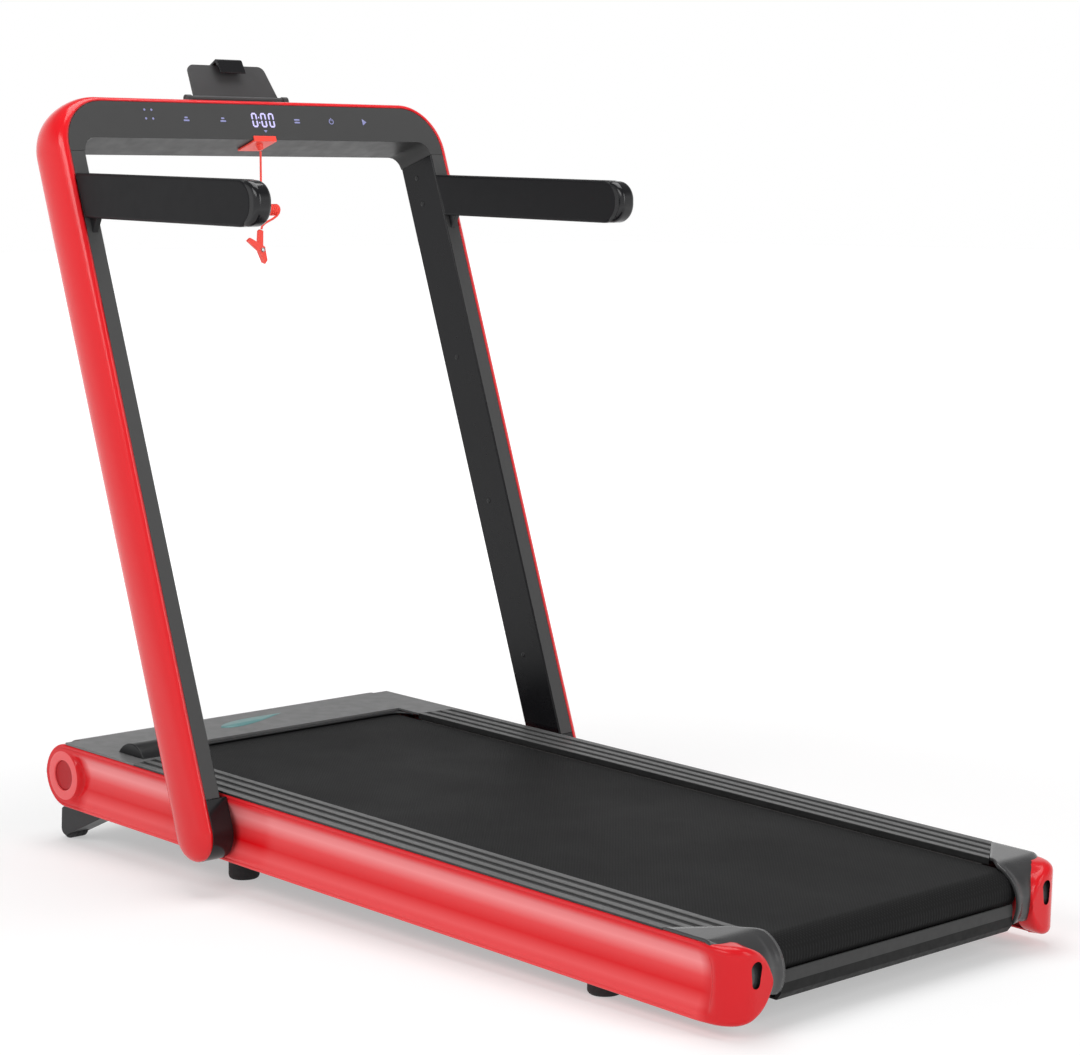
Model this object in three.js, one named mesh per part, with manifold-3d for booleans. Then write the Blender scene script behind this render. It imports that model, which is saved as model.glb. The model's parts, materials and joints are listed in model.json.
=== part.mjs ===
// Folding electric walking treadmill with a flat belt, a fold-down U-shaped
// frame and two fold-down hand rails.  Units are millimetres, +Z is up.
// +X points to the rear, where the user steps on, and -Y is the user's left.
import * as THREE from "three";
import { mergeVertices } from "three/addons/utils/BufferGeometryUtils.js";
import Module from "manifold-3d";

const wasm = await Module();
wasm.setup();

// ---------------------------------------------------------------- dimensions
const GAP = 0.3; // clearance between pieces that touch
const RAD = Math.PI / 180;

// Base.  Its parts are drawn on a level base: x from the front end, z from the
// underside of the side covers.  The finished base slopes up to the front.
const BASE_LENGTH = 1243;
const INCLINE = 1.73 * RAD;
const REAR_LIFT = 13.2; // floor to the underside of the side covers, at the rear
const BASE_SHIFT = -1.3; // brings the middle of the whole machine to x = 0
const COVER_OUT = 277.5; // half the width over the side covers
const COVER_IN = 253; // inner edge of the side covers' lips
const COVER_TALL = 84;
const FRONT_R = COVER_TALL / 2; // round front end of a side cover
const REAR_R = 27; // corners of the rear end, seen from the side
const PLAN_R = 34; // corner of the rear end, seen from above
const REAR_END_IN = 219; // inner edge of a side cover's rear end
const TOP = 87; // height of the foot rails and of the motor cover
const LID_LOW = COVER_TALL + GAP;
const FOOT_RAIL_IN = 213; // half the width of the gap the belt runs in
const FOOT_RAIL_OUT = 276.5;
const FOOT_RAIL_START = [187.8, 197.8]; // at the inner and the outer edge
const FOOT_RAIL_END = [1183.5, 1138.5];
const COVER_REAR = 144; // rear edge of the motor cover, over the belt
const RAIL_IN = 222; // steel frame rails
const RAIL_OUT = COVER_IN - GAP;
const RAIL_LOW = 10;
const RAIL_HIGH = 53.5;

// Belt, rollers and motor.
const FRONT_ROLLER = { x: 108, z: 47.7, r: 31 };
const REAR_ROLLER = { x: 1207, z: 57.7, r: 21 };
const ROLLER_HALF = 206;
const BELT_HALF = 203;
const BELT_GAP = 0.3;
const BELT_THICK = 1.7;
const DECK_TOP = FRONT_ROLLER.z + FRONT_ROLLER.r; // just under the belt
const DECK_LOW = 64;
const MOTOR_AT = [43, 41];
const MOTOR_PULLEY_R = 12;
const ROLLER_PULLEY_R = 30;
const PULLEY_Y = -213.5;
const CAP_AT = [1197.5, 45.5]; // centre of the rear caps' round end
const CAP_R = TOP - CAP_AT[1];

// Upright frame.  Its parts are drawn standing straight: x is the distance
// behind the leg's centre plane and z the distance from the fold pivot.
const PIVOT = [-242.4, 75];
const LEAN = 18.52 * RAD;
const LEG_HALF = 33.5; // half the depth of a leg, front to back
const LEG_IN = 287.4;
const LEG_MID = 309.8; // seam between the inner and the outer shell
const SIDE_CROWN = 16.4; // how far the outer shell bulges on the legs
const TOP_CROWN = 11; // and on top of the console
const HUB_TOP = 38; // the hinge hub ends here and the leg's shells begin
const CONSOLE_LOW = 885.6;
const CONSOLE_TOP = 934.4;
const CORNER_R = 61;
const INNER_CORNER_R = 18;
const PIN_R = 10;

// Hand rails.
const ARM_DROOP = 1.48 * RAD;
const ARM_IN = 286.3;
const ARM_OUT = 311;
const ARM_PIN = [41.5, 784]; // in the upright frame
const ARM_PIN_R = 4;
const ARM_REACH = 346;
const ARM_LOW = -7;
const ARM_HIGH = 47.6;
const ARM_END_R = 25;
const TONGUE = [294.7, 302.6];

// Phone holder, safety key and its cord.
const HOLDER_AXIS = [-6, 956]; // in the upright frame
const HOLDER_LEAN = 30.5 * RAD;
const PLATE_TALL = 52;
const KEY_HALF = 18.5;
const KEY_BOSS = 20.6;
const KEY_BOSS_LOW = 875.6;
const CORD_D = 3;
const CORD_DROP = 103;
const BUNDLE_DROP = 79;

// -------------------------------------------------------------- shape tools
const xyz = (x, y, z) => new THREE.Vector3(x, y, z);

function toManifold(geometry) {
  const bare = geometry.clone();
  bare.deleteAttribute("normal");
  bare.deleteAttribute("uv");
  const merged = mergeVertices(bare, 1e-4);
  return new wasm.Manifold(new wasm.Mesh({
    numProp: 3,
    vertProperties: new Float32Array(merged.attributes.position.array),
    triVerts: new Uint32Array(merged.index.array),
  }));
}

function fromManifold(solid) {
  const mesh = solid.getMesh();
  const geometry = new THREE.BufferGeometry();
  geometry.setAttribute("position", new THREE.BufferAttribute(mesh.vertProperties, 3));
  geometry.setIndex(new THREE.BufferAttribute(mesh.triVerts, 1));
  return geometry;
}

function join(first, ...others) {
  return fromManifold(others.reduce((sum, g) => sum.add(toManifold(g)), toManifold(first)));
}

function cut(first, ...others) {
  return fromManifold(others.reduce((rest, g) => rest.subtract(toManifold(g)), toManifold(first)));
}

function common(first, second) {
  return fromManifold(toManifold(first).intersect(toManifold(second)));
}

function extrude(points, depth) {
  const shape = new THREE.Shape(points.map(([a, b]) => new THREE.Vector2(a, b)));
  return new THREE.ExtrudeGeometry(shape, { depth, bevelEnabled: false });
}

// Outline in plan, extruded upwards.
function prismUp(points, low, high) {
  return extrude(points, high - low).translate(0, 0, low);
}

// Outline in side view (x, z), extruded across the machine.
function prismAcross(points, from, to) {
  return extrude(points, to - from).rotateX(Math.PI / 2).translate(0, to, 0);
}

// Outline in rear view (y, z), extruded along the machine.
function prismAlong(points, from, to) {
  const turn = new THREE.Matrix4().makeBasis(xyz(0, 1, 0), xyz(0, 0, 1), xyz(1, 0, 0));
  return extrude(points, to - from).applyMatrix4(turn).translate(from, 0, 0);
}

function block(x0, x1, y0, y1, z0, z1) {
  const box = new THREE.BoxGeometry(x1 - x0, y1 - y0, z1 - z0);
  return box.translate((x0 + x1) / 2, (y0 + y1) / 2, (z0 + z1) / 2);
}

function rodAcross(radius, from, to, x, z, sides = 24) {
  return new THREE.CylinderGeometry(radius, radius, to - from, sides).translate(x, (from + to) / 2, z);
}

function rodAlong(radius, from, to, y, z, sides = 16) {
  const rod = new THREE.CylinderGeometry(radius, radius, to - from, sides).rotateZ(Math.PI / 2);
  return rod.translate((from + to) / 2, y, z);
}

function mirrored(geometry) {
  const copy = geometry.index ? geometry.toNonIndexed() : geometry.clone();
  const position = copy.attributes.position;
  const corner = [xyz(), xyz(), xyz()];
  for (let i = 0; i < position.count; i += 3) {
    corner.forEach((point, k) => point.fromBufferAttribute(position, i + k));
    [2, 1, 0].forEach((from, k) => {
      position.setXYZ(i + k, corner[from].x, -corner[from].y, corner[from].z);
    });
  }
  return copy;
}

// Points on an arc in the plane, from one angle to another in degrees.
function arc(cx, cy, radius, from, to, steps, flat = 1) {
  const points = [];
  for (let i = 0; i <= steps; i += 1) {
    const angle = (from + ((to - from) * i) / steps) * RAD;
    points.push([cx + radius * Math.cos(angle), cy + radius * flat * Math.sin(angle)]);
  }
  return points;
}

// Band round two circles, as a belt lies on two pulleys.
function beltOutline([ax, az, ar], [bx, bz, br], steps = 14) {
  const away = Math.hypot(bx - ax, bz - az);
  const along = Math.atan2(bz - az, bx - ax) / RAD;
  const lean = Math.acos((ar - br) / away) / RAD;
  return [
    ...arc(bx, bz, br, along - lean, along + lean, steps),
    ...arc(ax, az, ar, along + lean, along + 360 - lean, steps),
  ];
}

// Closed surface through equal rings of points, closed by flat ends.
function loft(rings) {
  const size = rings[0].length;
  const flat = rings[0].map((point) => new THREE.Vector2(point.u, point.v));
  const ends = THREE.ShapeUtils.triangulateShape(flat, []);
  const position = rings.flat().flatMap((point) => [point.at.x, point.at.y, point.at.z]);
  const index = [];
  for (let r = 0; r < rings.length - 1; r += 1) {
    for (let i = 0; i < size; i += 1) {
      const a = r * size + i;
      const b = r * size + ((i + 1) % size);
      index.push(a, b, b + size, a, b + size, a + size);
    }
  }
  const last = (rings.length - 1) * size;
  ends.forEach(([a, b, c]) => index.push(c, b, a, last + a, last + b, last + c));
  const geometry = new THREE.BufferGeometry();
  geometry.setAttribute("position", new THREE.Float32BufferAttribute(position, 3));
  geometry.setIndex(index);
  return geometry;
}

// ------------------------------------------------------------- placing parts
const BASE_RISE = REAR_LIFT + (BASE_LENGTH / 2) * Math.sin(INCLINE);

function onBase(geometry) {
  return geometry.translate(-BASE_LENGTH / 2, 0, 0).rotateY(INCLINE).translate(BASE_SHIFT, 0, BASE_RISE);
}

// A point of the room, as the base's own (x, z).
function toBase(x, z) {
  const along = x - BASE_SHIFT;
  const up = z - BASE_RISE;
  return [
    along * Math.cos(INCLINE) - up * Math.sin(INCLINE) + BASE_LENGTH / 2,
    along * Math.sin(INCLINE) + up * Math.cos(INCLINE),
  ];
}

function onUpright(geometry) {
  return geometry.rotateY(-LEAN).translate(PIVOT[0], 0, PIVOT[1]);
}

// A point of the upright frame, as the room's (x, z).
function fromUpright(x, z) {
  return [
    PIVOT[0] + x * Math.cos(LEAN) - z * Math.sin(LEAN),
    PIVOT[1] + x * Math.sin(LEAN) + z * Math.cos(LEAN),
  ];
}

// ------------------------------------------------------------ base structure
function frameRail() {
  const [pinX, pinZ] = toBase(...PIVOT);
  const wall = 2;
  const rail = block(24, 1190, RAIL_IN, RAIL_OUT, RAIL_LOW, RAIL_HIGH);
  const bore = block(0, 1200, RAIL_IN + wall, RAIL_OUT - wall, RAIL_LOW + wall, RAIL_HIGH - wall);
  const axleHole = rodAcross(7.5, RAIL_IN - 2, RAIL_OUT - 4, FRONT_ROLLER.x, FRONT_ROLLER.z);
  const pin = rodAcross(PIN_R, RAIL_OUT - wall - 1, 305, pinX, pinZ, 32);
  return join(cut(rail, bore, axleHole), pin);
}

function crossmember(from, low, high) {
  return block(from, from + 35, -RAIL_IN + GAP, RAIL_IN - GAP, low, high);
}

function runningDeck() {
  return block(195, 1175, -240, 240, DECK_LOW, DECK_TOP - 0.1);
}

function deckCushion() {
  return block(220, 1120, 224, 240, RAIL_HIGH + GAP, DECK_LOW - GAP);
}

// ------------------------------------------------------------- outside skins
function sideCover() {
  const side = prismAcross([
    ...arc(BASE_LENGTH - REAR_R, REAR_R, REAR_R, -90, 0, 7),
    ...arc(BASE_LENGTH - REAR_R, COVER_TALL - REAR_R, REAR_R, 0, 90, 7),
    ...arc(FRONT_R, FRONT_R, FRONT_R, 90, 270, 18),
  ], REAR_END_IN - 1, COVER_OUT);
  const plan = prismUp([
    [-1, COVER_IN],
    [1180, COVER_IN],
    [1180, REAR_END_IN],
    [BASE_LENGTH, REAR_END_IN],
    ...arc(BASE_LENGTH - PLAN_R, COVER_OUT - PLAN_R, PLAN_R, 0, 90, 7),
    [-1, COVER_OUT],
  ], -1, TOP);
  const channel = prismAlong([
    ...arc(COVER_OUT + 0.5, FRONT_R, 32, 90, 270, 10).map(([y, z]) => [
      COVER_OUT + 0.5 - (COVER_OUT + 0.5 - y) * 0.3,
      z,
    ]),
  ], 38, BASE_LENGTH - PLAN_R);
  const boss = rodAcross(34, COVER_IN, COVER_OUT + 5, 39, FRONT_R, 32);
  const inside = block(40, 1228, REAR_END_IN - 9, 265, 6, 78);
  const recess = rodAcross(20, COVER_OUT - 5, COVER_OUT + 1, 36, 41, 28);
  const [pinX, pinZ] = toBase(...PIVOT);
  const pinHole = rodAcross(PIN_R + 1, COVER_IN, COVER_OUT + 1, pinX, pinZ, 32);
  const boltHole = block(1220, 1250, 237, 251, 40, 68);
  return cut(common(side, plan), cut(channel, boss), inside, recess, pinHole, boltHole);
}

function footRail() {
  const ridge = 8;
  const groove = 10;
  const points = [
    [FOOT_RAIL_IN, DECK_TOP + GAP],
    [FOOT_RAIL_IN + 2.2, DECK_TOP + GAP],
    [FOOT_RAIL_IN + 2.2, LID_LOW],
    [FOOT_RAIL_OUT, LID_LOW],
    [FOOT_RAIL_OUT, TOP],
  ];
  for (let i = 3; i > 0; i -= 1) {
    const inner = FOOT_RAIL_IN + i * (ridge + groove) - groove;
    points.push([inner + groove, TOP], [inner + groove - 0.6, TOP - 1.5]);
    points.push([inner + 0.6, TOP - 1.5], [inner, TOP]);
  }
  points.push([FOOT_RAIL_IN, TOP]);
  const strip = prismAlong(points, FOOT_RAIL_START[0], FOOT_RAIL_END[0]);
  const plan = prismUp([
    [FOOT_RAIL_START[0] + GAP, FOOT_RAIL_IN],
    [FOOT_RAIL_END[0], FOOT_RAIL_IN],
    [FOOT_RAIL_END[1], FOOT_RAIL_OUT],
    [FOOT_RAIL_START[1] + GAP, FOOT_RAIL_OUT],
  ], DECK_TOP - 1, TOP + 1);
  return common(strip, plan);
}

function rearCap() {
  const thick = 2.4;
  const start = FOOT_RAIL_END[1] + 1;
  const band = prismAcross([
    ...arc(...CAP_AT, CAP_R, -33, 90, 14),
    [start, TOP],
    [start, TOP - thick],
    ...arc(...CAP_AT, CAP_R - thick, 90, -33, 14),
  ], 190, 253);
  const strip = prismUp([
    [FOOT_RAIL_END[0] + GAP, FOOT_RAIL_IN],
    [1205, 199],
    [1215, 196],
    [1242, 196],
    [1242, REAR_END_IN - 0.5],
    [1180, REAR_END_IN - 0.5],
  ], -5, TOP + 1);
  const cornerX = BASE_LENGTH - PLAN_R;
  const lip = prismUp([
    [FOOT_RAIL_END[0] + GAP, FOOT_RAIL_IN],
    [1214, FOOT_RAIL_IN + 3],
    ...arc(cornerX, COVER_OUT - PLAN_R, PLAN_R - 1, 70, 90, 3),
    [FOOT_RAIL_END[1] + GAP, FOOT_RAIL_OUT],
  ], LID_LOW, TOP);
  return join(common(band, strip), lip);
}

function rearBar() {
  return prismAcross([
    [1200, 14],
    [1227, 14],
    [1233, 22],
    [1233, 42],
    [1231.5, 46.5],
    [1229, 46],
    [1228.5, 24],
    [1224, 17],
    [1200, 17],
  ], -195.5, 195.5);
}

function motorCover() {
  const half = COVER_IN - 0.5;
  const middle = 43.3;
  const radius = TOP - middle;
  const arch = prismAcross([
    ...arc(middle, middle, radius - 3.3, 222, 90, 18),
    [COVER_REAR - 3.5, TOP - 3.3],
    [COVER_REAR - 3.5, 82],
    [COVER_REAR, 82],
    [COVER_REAR, TOP],
    ...arc(middle, middle, radius, 90, 222, 18),
  ], -half, half);
  const lid = prismUp([
    [middle, -FOOT_RAIL_OUT],
    [FOOT_RAIL_START[1], -FOOT_RAIL_OUT],
    [FOOT_RAIL_START[0], -FOOT_RAIL_IN],
    [COVER_REAR, -FOOT_RAIL_IN],
    [COVER_REAR, FOOT_RAIL_IN],
    [FOOT_RAIL_START[0], FOOT_RAIL_IN],
    [FOOT_RAIL_START[1], FOOT_RAIL_OUT],
    [middle, FOOT_RAIL_OUT],
  ], LID_LOW, TOP);
  const pedalHole = block(
    PEDAL.x - PEDAL.halfChord - 0.5,
    PEDAL.x + PEDAL.halfChord + 0.5,
    PEDAL.from - 0.5,
    PEDAL.to + 0.5,
    78,
    TOP + 1,
  );
  const { from, to, low, high } = INLET;
  const inletHole = block(-2, 14, from - GAP, to + GAP, low - GAP, high + GAP);
  return cut(join(arch, lid), pedalHole, inletHole);
}

function bottomPan() {
  const inner = [[17, 9], [40, -17], [150, -17], [277, 2]];
  const outer = [[277, -1], [150, -20], [38, -20], [14, 8]];
  const wall = prismAcross([...outer, [17, 9], [277, 2]].reverse(), -226, -223);
  return join(prismAcross([...inner, ...outer].reverse(), -226, 226), wall, mirrored(wall));
}

// ------------------------------------------------------------- drive and belt
function frontRoller() {
  const { x, z, r } = FRONT_ROLLER;
  return join(
    rodAcross(r, -ROLLER_HALF, ROLLER_HALF, x, z, 32),
    rodAcross(ROLLER_PULLEY_R, PULLEY_Y - 4.5, PULLEY_Y + 4.5, x, z, 32),
    rodAcross(7, -RAIL_IN - 20, RAIL_IN + 20, x, z),
  );
}

function rearRoller() {
  const { x, z, r } = REAR_ROLLER;
  return join(rodAcross(r, -ROLLER_HALF, ROLLER_HALF, x, z, 32), rodAcross(7, -236, 236, x, z));
}

function loopAcross(a, b, inner, outer, from, to) {
  const ring = (extra) => beltOutline([a[0], a[1], a[2] + extra], [b[0], b[1], b[2] + extra]);
  return cut(prismAcross(ring(outer), from, to), prismAcross(ring(inner), from - 1, to + 1));
}

function runningBelt() {
  const ends = [FRONT_ROLLER, REAR_ROLLER].map(({ x, z, r }) => [x, z, r]);
  return loopAcross(...ends, BELT_GAP, BELT_GAP + BELT_THICK, -BELT_HALF, BELT_HALF);
}

function driveBelt() {
  const small = [...MOTOR_AT, MOTOR_PULLEY_R];
  const large = [FRONT_ROLLER.x, FRONT_ROLLER.z, ROLLER_PULLEY_R];
  return loopAcross(small, large, GAP, 2.6, PULLEY_Y - 4, PULLEY_Y + 4);
}

function motorPulley() {
  return join(
    rodAcross(MOTOR_PULLEY_R, PULLEY_Y - 4.5, PULLEY_Y + 4.5, ...MOTOR_AT),
    rodAcross(4, PULLEY_Y, -185.3, ...MOTOR_AT),
  );
}

function motor() {
  return join(rodAcross(29, -185, -30, ...MOTOR_AT, 28), block(41, 61, -160, -50, -16.7, 20));
}

function controller() {
  return block(41, 72, -10, 122, -16.7, 62);
}

function tensionBolt() {
  return join(rodAlong(4, 1191, 1229, 244, 54), rodAlong(6, 1229, 1234, 244, 54, 6));
}

// --------------------------------------------------- power inlet and controls
const INLET = { from: 136, to: 214, low: 29, high: 58 };
const ROCKER = { y: 186, z: 43.5, halfWide: 6.5, halfTall: 9 };
const BREAKER = { y: 204, z: 43.5, radius: 4.2 };

function powerInlet() {
  const body = block(2, 35, INLET.from, INLET.to, INLET.low, INLET.high);
  const socket = block(0, 23, 143, 171, 34, 53);
  const { y, z } = ROCKER;
  const rockerHole = block(0, 20, y - 7.2, y + 7.2, z - 12, z + 12);
  const breakerHole = rodAlong(BREAKER.radius + 0.4, 0, 20, BREAKER.y, BREAKER.z);
  const blades = [-7, 0, 7].map((side) => {
    const low = side === 0 ? 45 : 38;
    return block(9, 24, 157 + side - 1, 157 + side + 1, low, low + 4);
  });
  return join(cut(body, socket, rockerHole, breakerHole), ...blades);
}

function powerSwitch() {
  const { y, z, halfWide, halfTall } = ROCKER;
  const side = [[3.2, z - halfTall], [13, z - 6], [13, z + 6], [3.2, z + halfTall], [5, z]];
  return prismAcross(side, y - halfWide, y + halfWide);
}

function breakerButton() {
  return rodAlong(BREAKER.radius, -0.6, 13, BREAKER.y, BREAKER.z);
}

const PEDAL = { x: 157.5, halfChord: 27.8, rise: 15.5, from: -252.2, to: -210 };

function foldPedal() {
  const { x, halfChord, rise, from, to } = PEDAL;
  const radius = (halfChord ** 2 + rise ** 2) / (2 * rise);
  const half = Math.asin(halfChord / radius) / RAD;
  return prismAcross([
    [x - halfChord, 80],
    [x + halfChord, 80],
    ...arc(x, TOP + rise - radius, radius, 90 - half, 90 + half, 14),
  ], from, to);
}

// ------------------------------------------------------------ wheels and feet
const WHEEL = { x: -605, r: 13.9, from: 232, to: 257 };

function wheelBracket() {
  const [hubX, hubZ] = toBase(WHEEL.x, WHEEL.r);
  const { r, from, to } = WHEEL;
  const cheeks = prismAcross([
    [115, -GAP],
    [24, -GAP],
    [hubX - 8, -10],
    ...arc(hubX, hubZ, 9, 180, 300, 6),
  ], from - 4, to + 4);
  const space = rodAcross(r + 2, from - 0.5, to + 0.5, hubX, hubZ, 24);
  const mouth = block(hubX - 16, hubX + 12, from - 0.5, to + 0.5, hubZ - 20, hubZ);
  const tongue = block(60, 110, from - 4, 245, -1, RAIL_LOW - GAP);
  return join(cut(cheeks, space, mouth), tongue, rodAcross(3, from - 2, to + 2, hubX, hubZ, 12));
}

function transportWheel() {
  const { x, r, from, to } = WHEEL;
  return cut(rodAcross(r, from, to, x, r, 40), rodAcross(3.3, from - 1, to + 1, x, r, 12));
}

function foot(x, y, puckTall, stemTop) {
  const puck = new THREE.LatheGeometry([
    [0, 0],
    [17, 0],
    [19, 2],
    [19.6, 5],
    [19, puckTall],
    [0, puckTall],
  ].map(([r, z]) => new THREE.Vector2(r, z)), 28).rotateX(Math.PI / 2);
  const tall = stemTop - puckTall + 1;
  const stem = new THREE.CylinderGeometry(5, 5, tall, 14).rotateX(Math.PI / 2);
  return join(puck, stem.translate(0, 0, stemTop - tall / 2)).translate(x, y, 0);
}

// ------------------------------------------------------------- upright frame
const SEAM = LEG_MID + GAP;
const LEG_TOP = CONSOLE_LOW - INNER_CORNER_R; // the inner shells end here
const BEND_AT = CONSOLE_TOP - CORNER_R; // the outer shells' straight part ends here

function hingeHub() {
  const points = [...arc(0, 0, LEG_HALF, 180, 360, 18), [LEG_HALF, HUB_TOP], [-LEG_HALF, HUB_TOP]];
  return cut(
    prismAcross(points, COVER_OUT + 1, LEG_MID),
    rodAcross(PIN_R + 0.4, COVER_OUT, 306, 0, 0, 32),
  );
}

function uprightTube() {
  return cut(
    block(-20, 20, LEG_IN + 4, 306, HUB_TOP + 0.6, LEG_TOP),
    block(-18, 18, LEG_IN + 6, 304, HUB_TOP, LEG_TOP + 10),
  );
}

function innerShell() {
  const wall = 3;
  const depth = LEG_HALF - wall;
  return prismUp([
    [-LEG_HALF, LEG_MID],
    [-LEG_HALF, LEG_IN + 2],
    [-LEG_HALF + 2, LEG_IN],
    [LEG_HALF - 2, LEG_IN],
    [LEG_HALF, LEG_IN + 2],
    [LEG_HALF, LEG_MID],
    [depth, LEG_MID],
    [depth, LEG_IN + wall],
    [-depth, LEG_IN + wall],
    [-depth, LEG_MID],
  ], HUB_TOP + GAP, LEG_TOP);
}

// Cross-section of the outer shell: u front to back, v outwards from the seam.
function shellSection(crown, steps = 12) {
  return [
    ...arc(0, 0, LEG_HALF, 0, 180, steps, crown / LEG_HALF),
    ...arc(0, 0, LEG_HALF - 3, 180, 0, steps, (crown - 3) / (LEG_HALF - 3)),
  ];
}


function outerShell() {
  const round = arc(0, 0, LEG_HALF, 180, 360, 18);
  const straight = loft([-40, BEND_AT - GAP].map((z) => (
    shellSection(SIDE_CROWN).map(([u, v]) => ({ u, v, at: xyz(u, SEAM + v, z) }))
  )));
  const outline = prismAcross([...round, [LEG_HALF, BEND_AT], [-LEG_HALF, BEND_AT]], SEAM - 1, 330);
  const end = common(prismAcross(round, SEAM, SEAM + 3), outline);
  const rounded = common(straight, outline);
  const [holeX, holeZ] = [0, 24];
  return cut(join(rounded, end), rodAcross(3.2, SEAM + 4, 330, holeX, holeZ, 12));
}

function outerShellTop() {
  const bend = SEAM - CORNER_R;
  const stations = [];
  for (let i = 0; i <= 8; i += 1) {
    stations.push([bend, (90 / 8) * i]);
  }
  for (let i = 8; i >= 0; i -= 1) {
    stations.push([-bend, 180 - (90 / 8) * i]);
  }
  const rings = stations.map(([y, degrees]) => {
    const angle = degrees * RAD;
    const crown = TOP_CROWN + (SIDE_CROWN - TOP_CROWN) * Math.abs(Math.cos(angle));
    return shellSection(crown).map(([u, v]) => {
      const reach = CORNER_R + v;
      return { u, v, at: xyz(u, y + reach * Math.cos(angle), BEND_AT + GAP + reach * Math.sin(angle)) };
    });
  });
  return loft(rings);
}

function consoleHousing() {
  const bend = LEG_MID - CORNER_R;
  const inner = LEG_IN - INNER_CORNER_R;
  const outline = [
    [LEG_IN, LEG_TOP + GAP],
    [LEG_MID, LEG_TOP + GAP],
    ...arc(bend, BEND_AT, CORNER_R, 0, 90, 8),
    ...arc(-bend, BEND_AT, CORNER_R, 90, 180, 8),
    [-LEG_MID, LEG_TOP + GAP],
    [-LEG_IN, LEG_TOP + GAP],
    ...arc(-inner, LEG_TOP, INNER_CORNER_R, 175, 90, 4),
    ...arc(inner, LEG_TOP, INNER_CORNER_R, 90, 5, 4),
  ];
  return cut(
    prismAlong(outline, -LEG_HALF, LEG_HALF),
    block(-LEG_HALF + 3, LEG_HALF - 3, -285, 285, CONSOLE_LOW + 3, CONSOLE_TOP + 10),
  );
}

function consoleTube() {
  const [low, high] = [CONSOLE_LOW + 8, CONSOLE_TOP - 12];
  return cut(
    block(-18, 12, -280, 280, low, high),
    block(-16, 10, -282, 282, low + 2, high - 2),
  );
}

// --------------------------------------------------------------- hand rails
function armBracket() {
  const [x, z] = ARM_PIN;
  const face = LEG_HALF + GAP;
  const side = [[face, z - 24], [x + 8, z - 9], [x + 6, z + 4], [face, z + 13]];
  return join(
    prismAcross(side, ...TONGUE),
    rodAcross(ARM_PIN_R, ARM_IN + 0.4, ARM_OUT - 0.4, x, z, 20),
  );
}

function arm() {
  const face = LEAN + ARM_DROOP; // tilt of the leg's rear face, seen from the arm
  const climb = (ARM_HIGH - ARM_LOW * Math.sin(face)) / Math.cos(face);
  const rootX = ARM_LOW * Math.cos(face) - climb * Math.sin(face);
  const nose = ARM_REACH - ARM_END_R;
  const body = prismAcross([
    ...arc(0, 0, -ARM_LOW, 180 + face / RAD, 270, 5),
    ...arc(nose, ARM_LOW + ARM_END_R, ARM_END_R, -90, 0, 7),
    ...arc(nose, ARM_HIGH - ARM_END_R, ARM_END_R, 0, 90, 7),
    [rootX, ARM_HIGH],
  ], ARM_IN, ARM_OUT);
  const slot = block(-40, 30, TONGUE[0] - 0.4, TONGUE[1] + 0.4, -20, 18);
  const pinHole = rodAcross(ARM_PIN_R + GAP, ARM_IN - 1, ARM_OUT + 1, 0, 0, 20);
  const [x, z] = fromUpright(...ARM_PIN);
  return cut(body, slot, pinHole).rotateY(ARM_DROOP).translate(x, 0, z);
}

// --------------------------------------------------------------- phone holder
function holderLedge() {
  const [x, z] = HOLDER_AXIS;
  const low = CONSOLE_TOP + GAP + TOP_CROWN + GAP;
  const lug = join(
    rodAcross(5, 76, 84.5, x, z, 16),
    block(x - 5, x + 5, 76, 84.5, low, z),
  );
  const bar = block(-14, 4, -84.5, 84.5, low, low + 4);
  const hole = rodAcross(2.6, -90, 90, x, z, 12);
  return cut(join(bar, lug, mirrored(lug)), hole);
}

function onHolder(geometry) {
  const [x, z] = fromUpright(...HOLDER_AXIS);
  return geometry.rotateY(-HOLDER_LEAN).translate(x, 0, z);
}

function phonePlate() {
  const corner = 10;
  const plate = prismAlong([
    [70, 0],
    ...arc(64 - corner, PLATE_TALL - corner, corner, 0, 90, 5),
    ...arc(-64 + corner, PLATE_TALL - corner, corner, 90, 180, 5),
    [-70, 0],
  ].reverse(), -2, 2);
  return join(plate, rodAcross(4, -75.5, 75.5, 0, 0, 16), rodAcross(2.2, -84, 84, 0, 0, 12));
}

function phoneClamp() {
  const over = PLATE_TALL + GAP;
  return prismAcross([
    [-6, 14],
    [-2.3, 14],
    [-2.3, over],
    [9, over],
    [9, 44],
    [11, 34],
    [13, 34],
    [13.5, over + 1],
    [11, over + 3.7],
    [-6, over + 3.7],
  ], -21, 21);
}

// ------------------------------------------------- safety key, cord and clip
const CORD_START = fromUpright(KEY_BOSS, KEY_BOSS_LOW);
const CORD_TOP = CORD_START[1] - 1.2 - GAP;
const RIVET = [-1.5, CORD_TOP - CORD_DROP - GAP - 27];

function safetyKey() {
  const high = CONSOLE_LOW - GAP;
  const edge = LEG_HALF + 2.5;
  const plate = block(-4, edge, -KEY_HALF, KEY_HALF, high - 2.7, high);
  const lip = block(LEG_HALF + GAP, edge, -KEY_HALF, KEY_HALF, high - 2.7, high + 5);
  const tall = high - KEY_BOSS_LOW;
  const boss = new THREE.CylinderGeometry(5.5, 3.6, tall - 1, 16).rotateX(Math.PI / 2);
  return join(plate, lip, boss.translate(KEY_BOSS, 0, KEY_BOSS_LOW + (tall - 1) / 2));
}

function safetyCord() {
  const [x] = CORD_START;
  const rod = new THREE.CylinderGeometry(CORD_D / 2, CORD_D / 2, CORD_DROP, 8).rotateX(Math.PI / 2);
  return rod.translate(x, 0, CORD_TOP - CORD_DROP / 2);
}

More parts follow.
